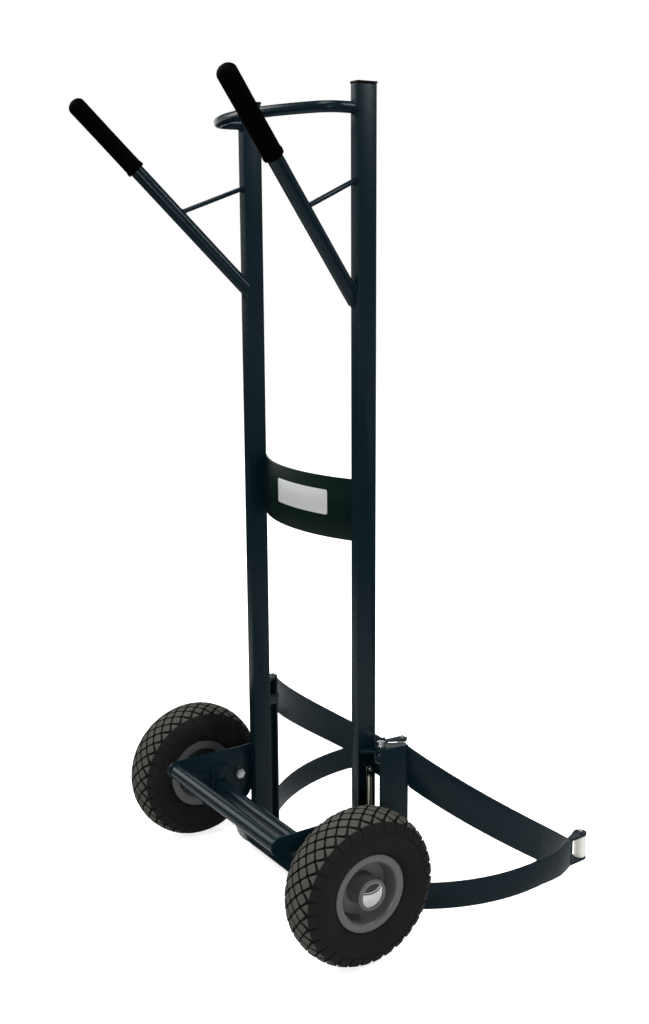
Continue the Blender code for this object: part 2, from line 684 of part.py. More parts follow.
def make_axle_ends(frame, name, side):
    """The spacer inside each wheel and the domed cap outside it."""
    place = along_x((0, 0, WHEEL_RADIUS))
    bore = AXLE_RADIUS + GAP
    low = PLATE_OUT_X + GAP
    high = WHEEL_X - HUB_INNER_LENGTH - GAP
    collar = high - SPACER_COLLAR_LENGTH
    profile = [
        (SPACER_COLLAR_RADIUS, high),
        (SPACER_COLLAR_RADIUS, collar),
        (SPACER_RADIUS, collar),
        (SPACER_RADIUS, low),
        (bore, low),
        (bore, high),
    ]
    spacer = turned(profile, ROUND_STEPS, place)
    solid(f"axle_spacer_{name}", spacer, "yellow_zinc", frame, side=side, smooth=True)

    skirt = hub_end_x() + 2 * GAP
    shoulder = skirt + AXLE_CAP_SKIRT
    floor = hub_end_x() + AXLE_END_LENGTH + GAP
    dome = [
        (AXLE_CAP_RADIUS * math.cos(angle), shoulder + AXLE_CAP_DOME * math.sin(angle))
        for angle in (math.radians(step) for step in (0, 15, 30, 45, 60, 75))
    ]
    profile = [(0, shoulder + AXLE_CAP_DOME), *reversed(dome), (AXLE_CAP_RADIUS, skirt)]
    profile += [(bore, skirt), (bore, floor), (0, floor)]
    cap = turned(profile, ROUND_STEPS, place)
    solid(f"axle_cap_{name}", cap, "chrome", frame, side=side, smooth=True)


def rim_profile():
    """The moulded rim in one section: lips, seat, well, disc and hub barrel."""
    ring_in = RIM_RADIUS - RIM_RING_WIDTH
    lip = RIM_HALF_WIDTH - RIM_LIP_THICKNESS
    seat = lip - RIM_DRAFT / 2
    well = RIM_SEAT_RADIUS - RIM_WALL
    half_disc = RIM_DISC_THICKNESS / 2
    bore = AXLE_RADIUS + 2 * GAP + BUSH_WALL
    return [
        (RIM_RADIUS, RIM_HALF_WIDTH),
        (RIM_RADIUS, lip),
        (RIM_SEAT_RADIUS, seat),
        (RIM_SEAT_RADIUS, -seat),
        (RIM_RADIUS, -lip),
        (RIM_RADIUS, -RIM_HALF_WIDTH),
        (ring_in, -RIM_HALF_WIDTH),
        (well, -RIM_HALF_WIDTH + 2 * RIM_DRAFT),
        (well - RIM_DRAFT, -half_disc),
        (HUB_RADIUS + RIM_DRAFT, -half_disc),
        (HUB_RADIUS, -HUB_INNER_LENGTH),
        (bore, -HUB_INNER_LENGTH),
        (bore, HUB_OUTER_LENGTH),
        (HUB_RADIUS, HUB_OUTER_LENGTH),
        (HUB_RADIUS + RIM_DRAFT, half_disc),
        (well - RIM_DRAFT, half_disc),
        (well, RIM_HALF_WIDTH - 2 * RIM_DRAFT),
        (ring_in, RIM_HALF_WIDTH),
    ]


def tyre_profile():
    """The tyre's section: outer line over the crown, then the carcass inside, open between the beads."""
    height = WHEEL_RADIUS - RIM_RADIUS
    outer = [(RIM_RADIUS + height * up, TYRE_HALF_WIDTH * out) for up, out in TYRE_OUTER_SHARES]
    lip = RIM_HALF_WIDTH - RIM_LIP_THICKNESS - RIM_DRAFT / 2 - GAP
    seat = RIM_SEAT_RADIUS + GAP
    bead = [(seat, lip - BEAD_WIDTH), (seat, lip), (RIM_RADIUS + GAP, lip + RIM_DRAFT / 2)]
    half = bead + outer
    inner_height = WHEEL_RADIUS - CARCASS_CROWN - seat
    inner_half = TYRE_HALF_WIDTH - CARCASS_SIDE
    inside = [(seat + inner_height * up, inner_half * out) for up, out in TYRE_INNER_SHARES]
    cavity = [(WHEEL_RADIUS - CARCASS_CROWN, 0)] + list(reversed(inside))
    right = half[::-1]
    left = [(radius, -x) for radius, x in half[:-1]]
    return right + [(radius, x) for radius, x in cavity[::-1]] + [
        (radius, -x) for radius, x in cavity[1:]
    ] + left


def treaded(profile, place):
    """The tyre's section spun round, with crossing grooves that leave rows of diamond blocks over the crown.

    The profile starts at the crown. The rows' rings have two points to a block: every other one is sunk, one
    step along from those of the next row, and a fold runs from each sunk point to the next. The other rings
    have one point to a block.
    """
    steps = 2 * TREAD_BLOCKS
    outer_row = TREAD_ROWS // 2
    bm = bmesh.new()
    rings = []
    for number, (radius, height) in enumerate(profile):
        row = min(number, len(profile) - number)
        ring = []
        for step in range(steps):
            if row > outer_row and step % 2:
                ring.append(ring[-1])
                continue
            sunk = row <= outer_row and (row + step) % 2
            reach = radius - TREAD_DEPTH if sunk else radius
            turn = math.tau * step / steps
            ring.append(bm.verts.new((reach * math.cos(turn), reach * math.sin(turn), height)))
        rings.append((row, ring))
    for number, (row, ring) in enumerate(rings):
        next_row, onward = rings[(number + 1) % len(rings)]
        for step in range(steps):
            follow = (step + 1) % steps
            near, far = (ring[step], ring[follow]), (onward[step], onward[follow])
            if (row + step) % 2:
                folds = ((near[0], near[1], far[1]), (near[0], far[1], far[0]))
            else:
                folds = ((near[0], near[1], far[0]), (near[1], far[1], far[0]))
            for fold in folds:
                if len(set(fold)) == 3:
                    bm.faces.new(fold)
    face_out(bm)
    bmesh.ops.transform(bm, matrix=place, verts=bm.verts)
    return bm


def make_wheel(name, side, parent):
    """A moulded rim with ribs, its bush and its puncture-proof tyre."""
    centre = (WHEEL_X, 0, WHEEL_RADIUS)
    place = along_x(centre)
    rim = turned(rim_profile(), WHEEL_STEPS, place)
    rim = solid(f"rim_{name}", rim, "rim_plastic", parent, side=side, smooth=True)
    well = RIM_SEAT_RADIUS - RIM_WALL
    rib_top = RIM_HALF_WIDTH * RIM_RIB_SHARE
    half = RIM_RIB_THICKNESS / 2
    for number in range(RIM_RIB_COUNT):
        turn = Matrix.Rotation(math.tau * (number + 0.5) / RIM_RIB_COUNT, 4, "Z")
        rib = prism([(HUB_RADIUS, -half), (well, -half), (well, half), (HUB_RADIUS, half)], -rib_top, rib_top)
        bmesh.ops.transform(rib, matrix=place @ turn, verts=rib.verts)
        shaped(rim, rib, "UNION", side)
    bush = tube_profile(AXLE_RADIUS + GAP + BUSH_WALL, AXLE_RADIUS + GAP, -HUB_INNER_LENGTH, HUB_OUTER_LENGTH)
    bush = turned(bush, ROUND_STEPS, place)
    solid(f"hub_bush_{name}", bush, "bush_plastic", parent, side=side, smooth=True)
    tyre = treaded(tyre_profile(), place)
    solid(f"tyre_{name}", tyre, "tyre_rubber", parent, side=side, smooth=True)


def make_foot(frame, name, side):
    """A folded foot: an upstand with a round heel inside the upright, and a base that is the lower hinge ear."""
    inner = UPRIGHT_IN - GAP - FOOT_PLATE_THICKNESS
    outer = HINGE_X + FOOT_EAR_MARGIN
    rear = UPRIGHT_REAR_Y - FOOT_PLATE_REAR
    front = HINGE_Y + FOOT_BASE_AHEAD
    base = FOOT_BASE_THICKNESS
    fold = FOOT_FOLD_RADIUS
    profile = [
        (inner, FOOT_PLATE_HEIGHT),
        *arc((inner + fold, fold), fold, 180, 270, 4),
        (outer, 0),
        (outer, base),
        (UPRIGHT_IN - GAP, base),
        (UPRIGHT_IN - GAP, FOOT_PLATE_HEIGHT),
    ]
    foot = prism(profile, rear, front, "xz")
    foot = solid(f"hinge_foot_{name}", foot, "zinc", frame, side=side)
    heel_centre = (rear + FOOT_PLATE_CORNER, FOOT_PLATE_CORNER)
    heel = [
        *arc(heel_centre, FOOT_PLATE_CORNER, 180, 270, 10),
        (front + OVERRUN, 0),
        (front + OVERRUN, -OVERRUN),
        (rear - OVERRUN, -OVERRUN),
        (rear - OVERRUN, FOOT_PLATE_CORNER),
    ]
    shaped(foot, prism(heel, inner - OVERRUN, outer + OVERRUN, "yz"), "DIFFERENCE", side)
    ahead = block(
        (inner - OVERRUN, UPRIGHT_FRONT_Y, base),
        (UPRIGHT_IN, front + OVERRUN, FOOT_PLATE_HEIGHT + OVERRUN),
    )
    shaped(foot, ahead, "DIFFERENCE", side)
    corner = FOOT_BASE_CORNER
    trims = (
        ((outer - corner, front - corner), ((outer + OVERRUN, front + OVERRUN)), 0, 90),
        ((outer - corner, HINGE_Y - FOOT_BASE_BEHIND + corner), (outer + OVERRUN, rear - OVERRUN), -90, 0),
    )
    for centre, far, start, end in trims:
        round_edge = arc(centre, corner, start, end, 5)
        if start == 0:
            outline = round_edge + [(centre[0], far[1]), far, (far[0], centre[1])]
        else:
            edge_y = centre[1] - corner
            left = UPRIGHT_IN - GAP
            outline = round_edge + [(far[0], centre[1]), far, (left, far[1]), (left, edge_y)]
        shaped(foot, prism(outline, -OVERRUN, FOOT_PLATE_HEIGHT + OVERRUN), "DIFFERENCE", side)
    hole = turned(
        rod_profile(HINGE_BOLT_RADIUS + GAP, -OVERRUN, POST_TOP_Z),
        ROUND_STEPS // 2,
        Matrix.Translation((HINGE_X, HINGE_Y, 0)),
    )
    shaped(foot, hole, "DIFFERENCE", side)


def make_brace(frame):
    """An angle between the two feet."""
    rear = UPRIGHT_REAR_Y - BRACE_BEHIND
    front = rear + BRACE_LEG
    low = BRACE_LOW_Z
    profile = [
        (rear, low),
        (front, low),
        (front, low + BRACE_LEG),
        (front - BRACE_THICKNESS, low + BRACE_LEG),
        (front - BRACE_THICKNESS, low + BRACE_THICKNESS),
        (rear, low + BRACE_THICKNESS),
    ]
    reach = UPRIGHT_IN - 2 * GAP - FOOT_PLATE_THICKNESS
    solid("bottom_brace", prism(profile, -reach, reach, "yz"), "frame_paint", frame)


def make_hinge_ear(frame, name, side):
    """The upper ear: its root lies in the upright's channel and its round end carries the arm's bolt."""
    root_in = UPRIGHT_IN + UPRIGHT_WALL + GAP
    rear = UPRIGHT_REAR_Y + UPRIGHT_WALL + GAP
    front = UPRIGHT_FRONT_Y - UPRIGHT_WALL - GAP
    shoulder = UPRIGHT_OUT + GAP
    outline = [
        (root_in, rear),
        (shoulder + EAR_BACK, rear),
        *arc((HINGE_X, HINGE_Y), EAR_RADIUS, -45, 90, 9),
        (shoulder, HINGE_Y + EAR_RADIUS),
        (shoulder, front),
        (root_in, front),
    ]
    ear = prism(outline, EAR_LOW_Z, EAR_TOP_Z)
    ear = solid(f"hinge_ear_{name}", ear, "frame_paint", frame, side=side)
    hole = turned(
        rod_profile(HINGE_BOLT_RADIUS + GAP, 0, POST_TOP_Z + OVERRUN),
        ROUND_STEPS // 2,
        Matrix.Translation((HINGE_X, HINGE_Y, 0)),
    )
    shaped(ear, hole, "DIFFERENCE", side)


def make_hinge_bolts(frame, name, side):
    """The upper bolt with its washer face and nut, and the short lower bolt that screws into the foot."""
    centre = (HINGE_X, HINGE_Y)
    place = Matrix.Translation((HINGE_X, HINGE_Y, 0))
    washer_low = POST_TOP_Z + GAP
    washer_high = washer_low + HINGE_WASHER_HEIGHT
    head_high = washer_high + HINGE_HEAD_HEIGHT
    nut_high = EAR_LOW_Z - GAP
    nut_low = nut_high - HINGE_NUT_HEIGHT
    end = nut_low - HINGE_BOLT_TAIL
    profile = [
        (0, washer_high),
        (HINGE_WASHER_RADIUS, washer_high),
        (HINGE_WASHER_RADIUS, washer_low),
        (HINGE_BOLT_RADIUS, washer_low),
        (HINGE_BOLT_RADIUS, end),
        (0, end),
    ]
    bolt = turned(profile, ROUND_STEPS // 2, place)
    bolt = solid(f"hinge_bolt_upper_{name}", bolt, "zinc", frame, side=side, smooth=True)
    head = prism(hexagon(HINGE_HEAD_RADIUS, centre), washer_low + HINGE_WASHER_HEIGHT / 2, head_high)
    shaped(bolt, head, "UNION", side)

    nut = prism(hexagon(HINGE_HEAD_RADIUS, centre), nut_low, nut_high)
    nut = solid(f"hinge_nut_{name}", nut, "zinc", frame, side=side)
    hole = turned(rod_profile(HINGE_BOLT_RADIUS + GAP, 0, POST_TOP_Z), ROUND_STEPS // 2, place)
    shaped(nut, hole, "DIFFERENCE", side)

    seat = POST_LOW_Z + POST_THICKNESS + GAP
    head = prism(hexagon(HINGE_HEAD_RADIUS, centre), seat, seat + HINGE_HEAD_HEIGHT)
    lower = solid(f"hinge_bolt_lower_{name}", head, "zinc", frame, side=side)
    shank = rod_profile(HINGE_BOLT_RADIUS, GAP, seat + HINGE_HEAD_HEIGHT / 2)
    shaped(lower, turned(shank, ROUND_STEPS // 2, place), "UNION", side)


def make_stop(frame, name, side):
    """A bent plate from the upright's front face to the arm post's lip, which stops the arm at its closed place."""
    rear = UPRIGHT_FRONT_Y + GAP
    front = POST_FRONT_Y
    bend = UPRIGHT_OUT + STOP_REACH
    end = LIP_IN_X - GAP
    outline = [
        (UPRIGHT_MID, rear),
        (bend, rear),
        (end, front - STOP_THICKNESS),
        (end, front),
        (end - STOP_THICKNESS, front),
        (bend - STOP_THICKNESS, rear + STOP_THICKNESS),
        (UPRIGHT_MID, rear + STOP_THICKNESS),
    ]
    stop = prism(outline, STOP_LOW_Z, STOP_LOW_Z + STOP_HEIGHT)
    solid(f"swing_stop_{name}", stop, "frame_paint", frame, side=side)


def make_spring_anchor(frame, name, side):
    """The headed stud inside the upright's channel that the spring's upper hook hangs on."""
    low = UPRIGHT_IN + UPRIGHT_WALL + GAP
    head = SPRING_X + HOOK_OFFSET + 2 * WIRE_RADIUS
    end = head + ANCHOR_HEAD_LENGTH
    profile = [
        (0, end),
        (ANCHOR_HEAD_RADIUS, end),
        (ANCHOR_HEAD_RADIUS, head),
        (ANCHOR_RADIUS, head),
        (ANCHOR_RADIUS, low),
        (0, low),
    ]
    stud = turned(profile, ROUND_STEPS // 2, along_x((0, SPRING_Y, ANCHOR_Z)))
    solid(f"spring_anchor_{name}", stud, "zinc", frame, side=side, smooth=True)


def hook_points(level, way):
    """A spring's end, drawn from its coil: a quarter turn that rises off the coil, a straight and an open eye.

    The level is the coil's end, and way is 1 for the upper end and -1 for the lower one.
    """
    points = []
    lift = 2 * COIL_RADIUS * math.pi / 8
    for step in range(1, 5):
        part = math.pi / 2 * step / 4
        angle = -math.pi / 2 * (2 - math.sin(part))
        spot = (COIL_RADIUS * math.cos(angle), COIL_RADIUS * math.sin(angle))
        points.append(Vector((spot[0], spot[1], level + way * lift * (1 - math.cos(part)))))
    eye_z = level + way * (HOOK_RISE - HOOK_OFFSET)
    for step in range(HOOK_POINTS + 1):
        angle = math.pi - HOOK_SWEEP * step / HOOK_POINTS
        spot = (HOOK_RADIUS * math.cos(angle), HOOK_RADIUS * math.sin(angle))
        points.append(Vector((0, spot[0], eye_z + way * spot[1])))
    tail = (points[-1] - points[-2]).normalized() * 2 * WIRE_RADIUS
    points.append(points[-1] + tail)
    return points


def spring_points():
    """The wire's middle line: lower hook, close coil and upper hook, round the spring's own axis."""
    low = COIL_LOW_Z
    upper = hook_points(COIL_TOP_Z, 1)
    lower = [Vector((point.x, -point.y, point.z)) for point in hook_points(low, -1)]
    coil = []
    turns = COIL_CURLS * CURL_POINTS
    for step in range(turns + 1):
        angle = math.pi + math.tau * step / CURL_POINTS
        place = (COIL_RADIUS * math.cos(angle), COIL_RADIUS * math.sin(angle))
        coil.append(Vector((place[0], place[1], low + (COIL_TOP_Z - low) * step / turns)))
    return lower, coil, upper


def least_gap(points):
    """The smallest clear distance between parts of the wire more than half a turn apart."""
    apart = CURL_POINTS // 2 + 1
    least = None
    for number, point in enumerate(points):
        for other in points[number + apart :]:
            distance = (point - other).length - 2 * WIRE_RADIUS
            least = distance if least is None else min(least, distance)
    return least


def make_spring(frame, name, side):
    lower, coil, upper = spring_points()
    points = lower[::-1] + coil + upper
    curve = bpy.data.curves.new(f"spring_{name}", "CURVE")
    curve.dimensions = "3D"
    curve.bevel_depth = WIRE_RADIUS
    curve.bevel_resolution = 1
    curve.use_fill_caps = True
    curve.twist_mode = "MINIMUM"
    spline = curve.splines.new("POLY")
    spline.points.add(len(points) - 1)
    for spot, point in zip(spline.points, points):
        spot.co = (side * point.x, point.y, point.z, 1)
    spring = bpy.data.objects.new(f"spring_{name}", curve)
    bpy.context.scene.collection.objects.link(spring)
    spring.parent = frame
    spring.location = (side * SPRING_X, SPRING_Y, 0)
    curve.materials.append(material_for(spring.name, "spring_steel"))
    print(f"{spring.name}: least gap in the wire {1000 * least_gap(points):.2f} mm")


def post_outer_x(y):
    """The web's outer face, which leans out a little towards the front."""
    share = (y - POST_REAR_Y) / (POST_FRONT_Y - POST_REAR_Y)
    return POST_REAR_X + (POST_FRONT_X - POST_REAR_X) * share


def make_post(name, side, parent):
    """The arm's folded post: web, front lip and two flanges, with the lug that the spring pulls on."""
    flange_in = HINGE_X - POST_FLANGE_EDGE
    bend_y = HINGE_Y + POST_AHEAD * POST_FLANGE_BEND_SHARE
    outline = [
        (POST_REAR_X, POST_REAR_Y),
        (POST_FRONT_X, POST_FRONT_Y),
        (LIP_IN_X, POST_FRONT_Y),
        (LIP_IN_X, POST_FRONT_Y - POST_THICKNESS),
        (flange_in, bend_y),
        (flange_in, POST_REAR_Y + POST_FLANGE_CHAMFER),
        (flange_in + POST_FLANGE_CHAMFER, POST_REAR_Y),
    ]
    post = prism(outline, POST_LOW_Z, POST_TOP_Z)
    post = solid(f"arm_post_{name}", post, "frame_paint", parent, side=side)
    lip_y = POST_FRONT_Y - POST_THICKNESS
    rear = POST_REAR_Y - OVERRUN
    hollow = [
        (post_outer_x(rear) - POST_THICKNESS, rear),
        (post_outer_x(lip_y) - POST_THICKNESS, lip_y),
        (UPRIGHT_MID, lip_y),
        (UPRIGHT_MID, rear),
    ]
    hollow = prism(hollow, POST_LOW_Z + POST_THICKNESS, POST_TOP_Z - POST_THICKNESS)
    shaped(post, hollow, "DIFFERENCE", side)
    lug = rod_profile(
        ANCHOR_RADIUS, SPRING_X - LUG_PAST_SPRING, post_outer_x(SPRING_Y) - POST_THICKNESS / 2
    )
    lug = turned(lug, ROUND_STEPS // 2, along_x((0, SPRING_Y, LUG_Z)))
    shaped(post, lug, "UNION", side)
    hole = turned(
        rod_profile(HINGE_BOLT_RADIUS + GAP, 0, POST_TOP_Z + OVERRUN),
        ROUND_STEPS // 2,
        Matrix.Translation((HINGE_X, HINGE_Y, 0)),
    )
    shaped(post, hole, "DIFFERENCE", side)


def strap_length(angle):
    """How far along the straps' middle line an angle lies, from the post."""
    return STRAP_MID_RADIUS * (angle - STRAP_START_ANGLE)


def roll(outline):
    """A strap cut flat, then rolled: its length runs round the circle and its height stays upright."""
    bm = bmesh.new()
    face = bm.faces.new([bm.verts.new((length, 0, height)) for length, height in outline])
    ends = [length for length, height in outline]
    count = int((max(ends) - min(ends)) / STRAP_ROLL_STEP)
    for number in range(1, count + 1):
        place = (min(ends) + number * STRAP_ROLL_STEP, 0, 0)
        parts = bm.verts[:] + bm.edges[:] + bm.faces[:]
        bmesh.ops.bisect_plane(bm, geom=parts, dist=MERGE, plane_co=place, plane_no=(1, 0, 0))
    grown = bmesh.ops.extrude_face_region(bm, geom=bm.faces[:])["geom"]
    back = [part for part in grown if isinstance(part, bmesh.types.BMVert)]
    bmesh.ops.translate(bm, vec=(0, STRAP_THICKNESS, 0), verts=back)
    for vert in bm.verts:
        angle = STRAP_START_ANGLE + vert.co.x / STRAP_MID_RADIUS
        radius = STRAP_INNER_RADIUS + vert.co.y
        vert.co = (radius * math.cos(angle), STRAP_CENTRE_Y + radius * math.sin(angle), vert.co.z)
    trim = (0, POST_FRONT_Y + GAP, 0)
    parts = bm.verts[:] + bm.edges[:] + bm.faces[:]
    bmesh.ops.bisect_plane(
        bm, geom=parts, dist=MERGE, plane_co=trim, plane_no=(0, -1, 0), clear_outer=True
    )
    bmesh.ops.holes_fill(bm, edges=[edge for edge in bm.edges if edge.is_boundary])
    face_out(bm)
    return bm


def strap_lines():
    """Heights of the straps' edges along their length."""
    end = strap_length(STRAP_END_ANGLE)
    upper_top = POST_TOP_Z - UPPER_STRAP_TOP_DROP

    def upper(length):
        return upper_top - UPPER_STRAP_SLOPE * length

    def lower(length):
        rise = max(0, length - (end - STRAP_JOINT_LENGTH)) / STRAP_JOINT_LENGTH * STRAP_JOINT_RISE
        return LOWER_STRAP_LOW_Z + LOWER_STRAP_HEIGHT + LOWER_STRAP_SLOPE * length + rise

    return end, upper, lower


def make_straps(name, side, parent):
    """The slanted upper strap and the low strap that it lands on, both on one circle."""
    end, upper, lower = strap_lines()
    before = -STRAP_THICKNESS
    low_fall = UPPER_STRAP_HEIGHT
    meet = (upper(0) - low_fall - lower(0) - GAP) / (UPPER_STRAP_SLOPE + LOWER_STRAP_SLOPE)
    knee = end - STRAP_JOINT_LENGTH
    outline = [
        (before, upper(before) - low_fall),
        (meet, upper(meet) - low_fall),
        (knee, lower(knee) + GAP),
        (end, lower(end) + GAP),
        (end, upper(end)),
        (before, upper(before)),
    ]
    straps = roll(outline)
    solid(f"arm_upper_strap_{name}", straps, "frame_paint", parent, side=side, smooth=True)
    drop = LOWER_STRAP_HEIGHT
    heel = end - STRAP_HEEL_LENGTH
    outline = [
        (before, lower(before) - drop),
        (knee - STRAP_HEEL_LENGTH, lower(knee - STRAP_HEEL_LENGTH) - drop),
        (heel, lower(knee) - drop - STRAP_HEEL_DROP),
        (end, lower(knee) - drop),
        (end, lower(end)),
        (knee, lower(knee)),
        (before, lower(before)),
    ]
    solid(f"arm_lower_strap_{name}", roll(outline), "frame_paint", parent, side=side, smooth=True)


def tip_frame():
    """The strap's end: its place on the middle line, the way forward and the way inward."""
    out = Vector((math.cos(STRAP_END_ANGLE), math.sin(STRAP_END_ANGLE), 0))
    forward = Vector((-out.y, out.x, 0))
    place = Vector((0, STRAP_CENTRE_Y, 0)) + out * STRAP_MID_RADIUS
    return place, forward, -out


def tip_heights():
    """The bracket's lowest and highest level, flush with the strap's end."""
    end, upper, lower = strap_lines()
    return lower(end - STRAP_JOINT_LENGTH) - LOWER_STRAP_HEIGHT, upper(end)


def tip_pin_place():
    place, forward, inward = tip_frame()
    return place + forward * TIP_PIN_AHEAD - inward * TIP_PIN_OUT


def make_tip(name, side, parent):
    """The folded bracket at the strap's end, with its pin."""
    place, forward, inward = tip_frame()
    low, high = tip_heights()
    frame = Matrix.Translation(place) @ Matrix((forward, inward, Vector((0, 0, 1)))).transposed().to_4x4()
    pin = (TIP_PIN_AHEAD, -TIP_PIN_OUT)
    outside = -STRAP_THICKNESS / 2
    ear = [(GAP, outside), *arc(pin, TIP_EAR_RADIUS, -115, 85, 12), (GAP, TIP_WEB_INSIDE)]
    bracket = prism(ear, low, high)
    bmesh.ops.transform(bracket, matrix=frame, verts=bracket.verts)
    bracket = solid(f"tip_bracket_{name}", bracket, "frame_paint", parent, side=side)
    reach = TIP_PIN_AHEAD + 2 * TIP_EAR_RADIUS
    throat = block(
        (GAP + TIP_THICKNESS, -reach, low + TIP_THICKNESS),
        (reach, reach, high - TIP_THICKNESS),
    )
    bmesh.ops.transform(throat, matrix=frame, verts=throat.verts)
    shaped(bracket, throat, "DIFFERENCE", side)
    spot = tip_pin_place()
    hole = turned(
        rod_profile(TIP_PIN_RADIUS + GAP, 0, high + OVERRUN), ROUND_STEPS // 2, Matrix.Translation(spot)
    )
    shaped(bracket, hole, "DIFFERENCE", side)

    top = high + TIP_PIN_HEAD
    dome = [
        (TIP_PIN_RADIUS * math.cos(angle), top + TIP_PIN_DOME * math.sin(angle))
        for angle in (math.radians(step) for step in (0, 30, 60))
    ]
    profile = [(0, top + TIP_PIN_DOME), *reversed(dome), (TIP_PIN_RADIUS, low - TIP_PIN_TAIL)]
    profile.append((0, low - TIP_PIN_TAIL))
    pin = turned(profile, ROUND_STEPS // 2, Matrix.Translation(spot))
    solid(f"tip_pin_{name}", pin, "zinc", parent, side=side, smooth=True)


def make_roller(name, side, parent):
    """The nylon roller between the bracket's ears."""
    low, high = tip_heights()
    bottom = low + TIP_THICKNESS + GAP
    top = high - TIP_THICKNESS - GAP
    bore = TIP_PIN_RADIUS + GAP
    edge = TIP_ROLLER_EDGE
    profile = [
        (TIP_ROLLER_RADIUS - edge, top),
        (TIP_ROLLER_RADIUS, top - edge),
        (TIP_ROLLER_RADIUS, bottom + edge),
        (TIP_ROLLER_RADIUS - edge, bottom),
        (bore, bottom),
        (bore, top),
    ]
    spot = tip_pin_place()
    roller = turned(profile, ROUND_STEPS, Matrix.Translation(spot))
    solid(f"tip_roller_{name}", roller, "roller_nylon", parent, side=side, smooth=True)


def model_box():
    """The lowest and highest corners of every piece, guides left out."""
    graph = bpy.context.evaluated_depsgraph_get()
    low = Vector((math.inf,) * 3)
    high = -low
    for obj in bpy.context.scene.objects:
        if obj.type == "EMPTY" or obj.hide_render:
            continue
        shape = obj.evaluated_get(graph)
        mesh = shape.to_mesh()
        for vert in mesh.vertices:
            spot = obj.matrix_world @ vert.co
            low = Vector(map(min, low, spot))
            high = Vector(map(max, high, spot))
        shape.to_mesh_clear()
    return low, high


def main():
    clear_scene()
    frame = pivot("trolley", (0, 0, 0))
    make_top_bow(frame)
    make_mid_band(frame)
    make_cross_tubes(frame)
    make_axle(frame)
    make_brace(frame)
    for name, side in SIDES:
        make_upright(frame, name, side)
        make_upright_cap(frame, name, side)
        make_handle(frame, name, side)
        make_side_plate(frame, name, side)
        make_keeper(frame, name, side)
        make_plate_bolt(frame, name, side)
        make_axle_ends(frame, name, side)
        make_foot(frame, name, side)
        make_hinge_ear(frame, name, side)
        make_hinge_bolts(frame, name, side)
        make_stop(frame, name, side)
        make_spring_anchor(frame, name, side)
        make_spring(frame, name, side)
        wheel = pivot(f"wheel_axis_{name}", (side * WHEEL_X, 0, WHEEL_RADIUS), frame)
        make_wheel(name, side, wheel)
        arm = pivot(f"arm_axis_{name}", (side * HINGE_X, HINGE_Y, POST_LOW_Z), frame)
        make_post(name, side, arm)
        make_straps(name, side, arm)
        make_tip(name, side, arm)
        spot = tip_pin_place()
        low, high = tip_heights()
        roller = pivot(f"roller_axis_{name}", (side * spot.x, spot.y, (low + high) / 2), arm)
        make_roller(name, side, roller)
    bpy.context.view_layer.update()
    low, high = model_box()
    frame.location = (-(low.x + high.x) / 2, -(low.y + high.y) / 2, -low.z)
    bpy.context.view_layer.update()


main()
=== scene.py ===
"""Tyre trolley, finished piece by piece over its CAD frame: powder-coated steel, treaded tyres and sprung arms.

Metres. +X is the user's right, +Y points forward to the load and +Z points up.
"""

import json
import math

import bmesh
import bpy
from bpy.props import FloatProperty, FloatVectorProperty, IntProperty, PointerProperty
from mathutils import Matrix, Vector

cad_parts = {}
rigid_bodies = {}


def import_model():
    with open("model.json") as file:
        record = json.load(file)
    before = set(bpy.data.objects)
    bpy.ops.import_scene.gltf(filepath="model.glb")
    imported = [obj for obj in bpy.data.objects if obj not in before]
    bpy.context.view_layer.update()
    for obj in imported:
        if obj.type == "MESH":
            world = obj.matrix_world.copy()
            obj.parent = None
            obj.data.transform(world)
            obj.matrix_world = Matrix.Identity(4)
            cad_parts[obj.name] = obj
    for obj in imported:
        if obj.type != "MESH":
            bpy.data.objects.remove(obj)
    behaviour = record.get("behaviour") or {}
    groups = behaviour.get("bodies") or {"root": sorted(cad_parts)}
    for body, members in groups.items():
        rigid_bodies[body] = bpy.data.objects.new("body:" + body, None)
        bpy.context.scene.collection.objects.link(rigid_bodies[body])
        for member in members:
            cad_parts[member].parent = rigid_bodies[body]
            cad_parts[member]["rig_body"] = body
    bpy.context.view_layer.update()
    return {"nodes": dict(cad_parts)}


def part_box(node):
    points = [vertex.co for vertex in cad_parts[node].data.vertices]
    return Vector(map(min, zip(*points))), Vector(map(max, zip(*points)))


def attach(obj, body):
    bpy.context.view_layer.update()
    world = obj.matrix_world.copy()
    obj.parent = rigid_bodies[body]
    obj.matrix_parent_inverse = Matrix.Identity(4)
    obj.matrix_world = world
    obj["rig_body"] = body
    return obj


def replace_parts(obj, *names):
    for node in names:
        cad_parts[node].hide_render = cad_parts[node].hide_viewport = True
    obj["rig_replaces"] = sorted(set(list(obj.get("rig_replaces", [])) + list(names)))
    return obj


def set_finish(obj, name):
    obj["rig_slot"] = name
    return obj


bl_info = {
    "name": "Tyre trolley",
    "version": (1, 0, 0),
    "blender": (4, 5, 0),
    "location": "3D View > Sidebar > Trolley",
    "description": "Models the finished pieces of a tyre trolley over its CAD frame",
    "category": "Object",
}

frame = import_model()
SIDES = (("left", -1), ("right", 1))


def middle(node):
    """The middle of a CAD node's box."""
    low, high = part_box(node)
    return (low + high) / 2


AXLE = middle("axle")
WHEEL_X = middle("tyre_right").x
WHEEL_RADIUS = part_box("tyre_right")[1].z - AXLE.z
TYRE_HALF_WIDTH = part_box("tyre_right")[1].x - WHEEL_X
UPRIGHT_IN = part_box("upright_right")[0].x
UPRIGHT_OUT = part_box("upright_right")[1].x
UPRIGHT_MID = (UPRIGHT_IN + UPRIGHT_OUT) / 2
UPRIGHT_REAR_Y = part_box("upright_right")[0].y
UPRIGHT_FRONT_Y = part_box("upright_right")[1].y
CLEARANCE = 0.0003
RIB_COUNT = 4


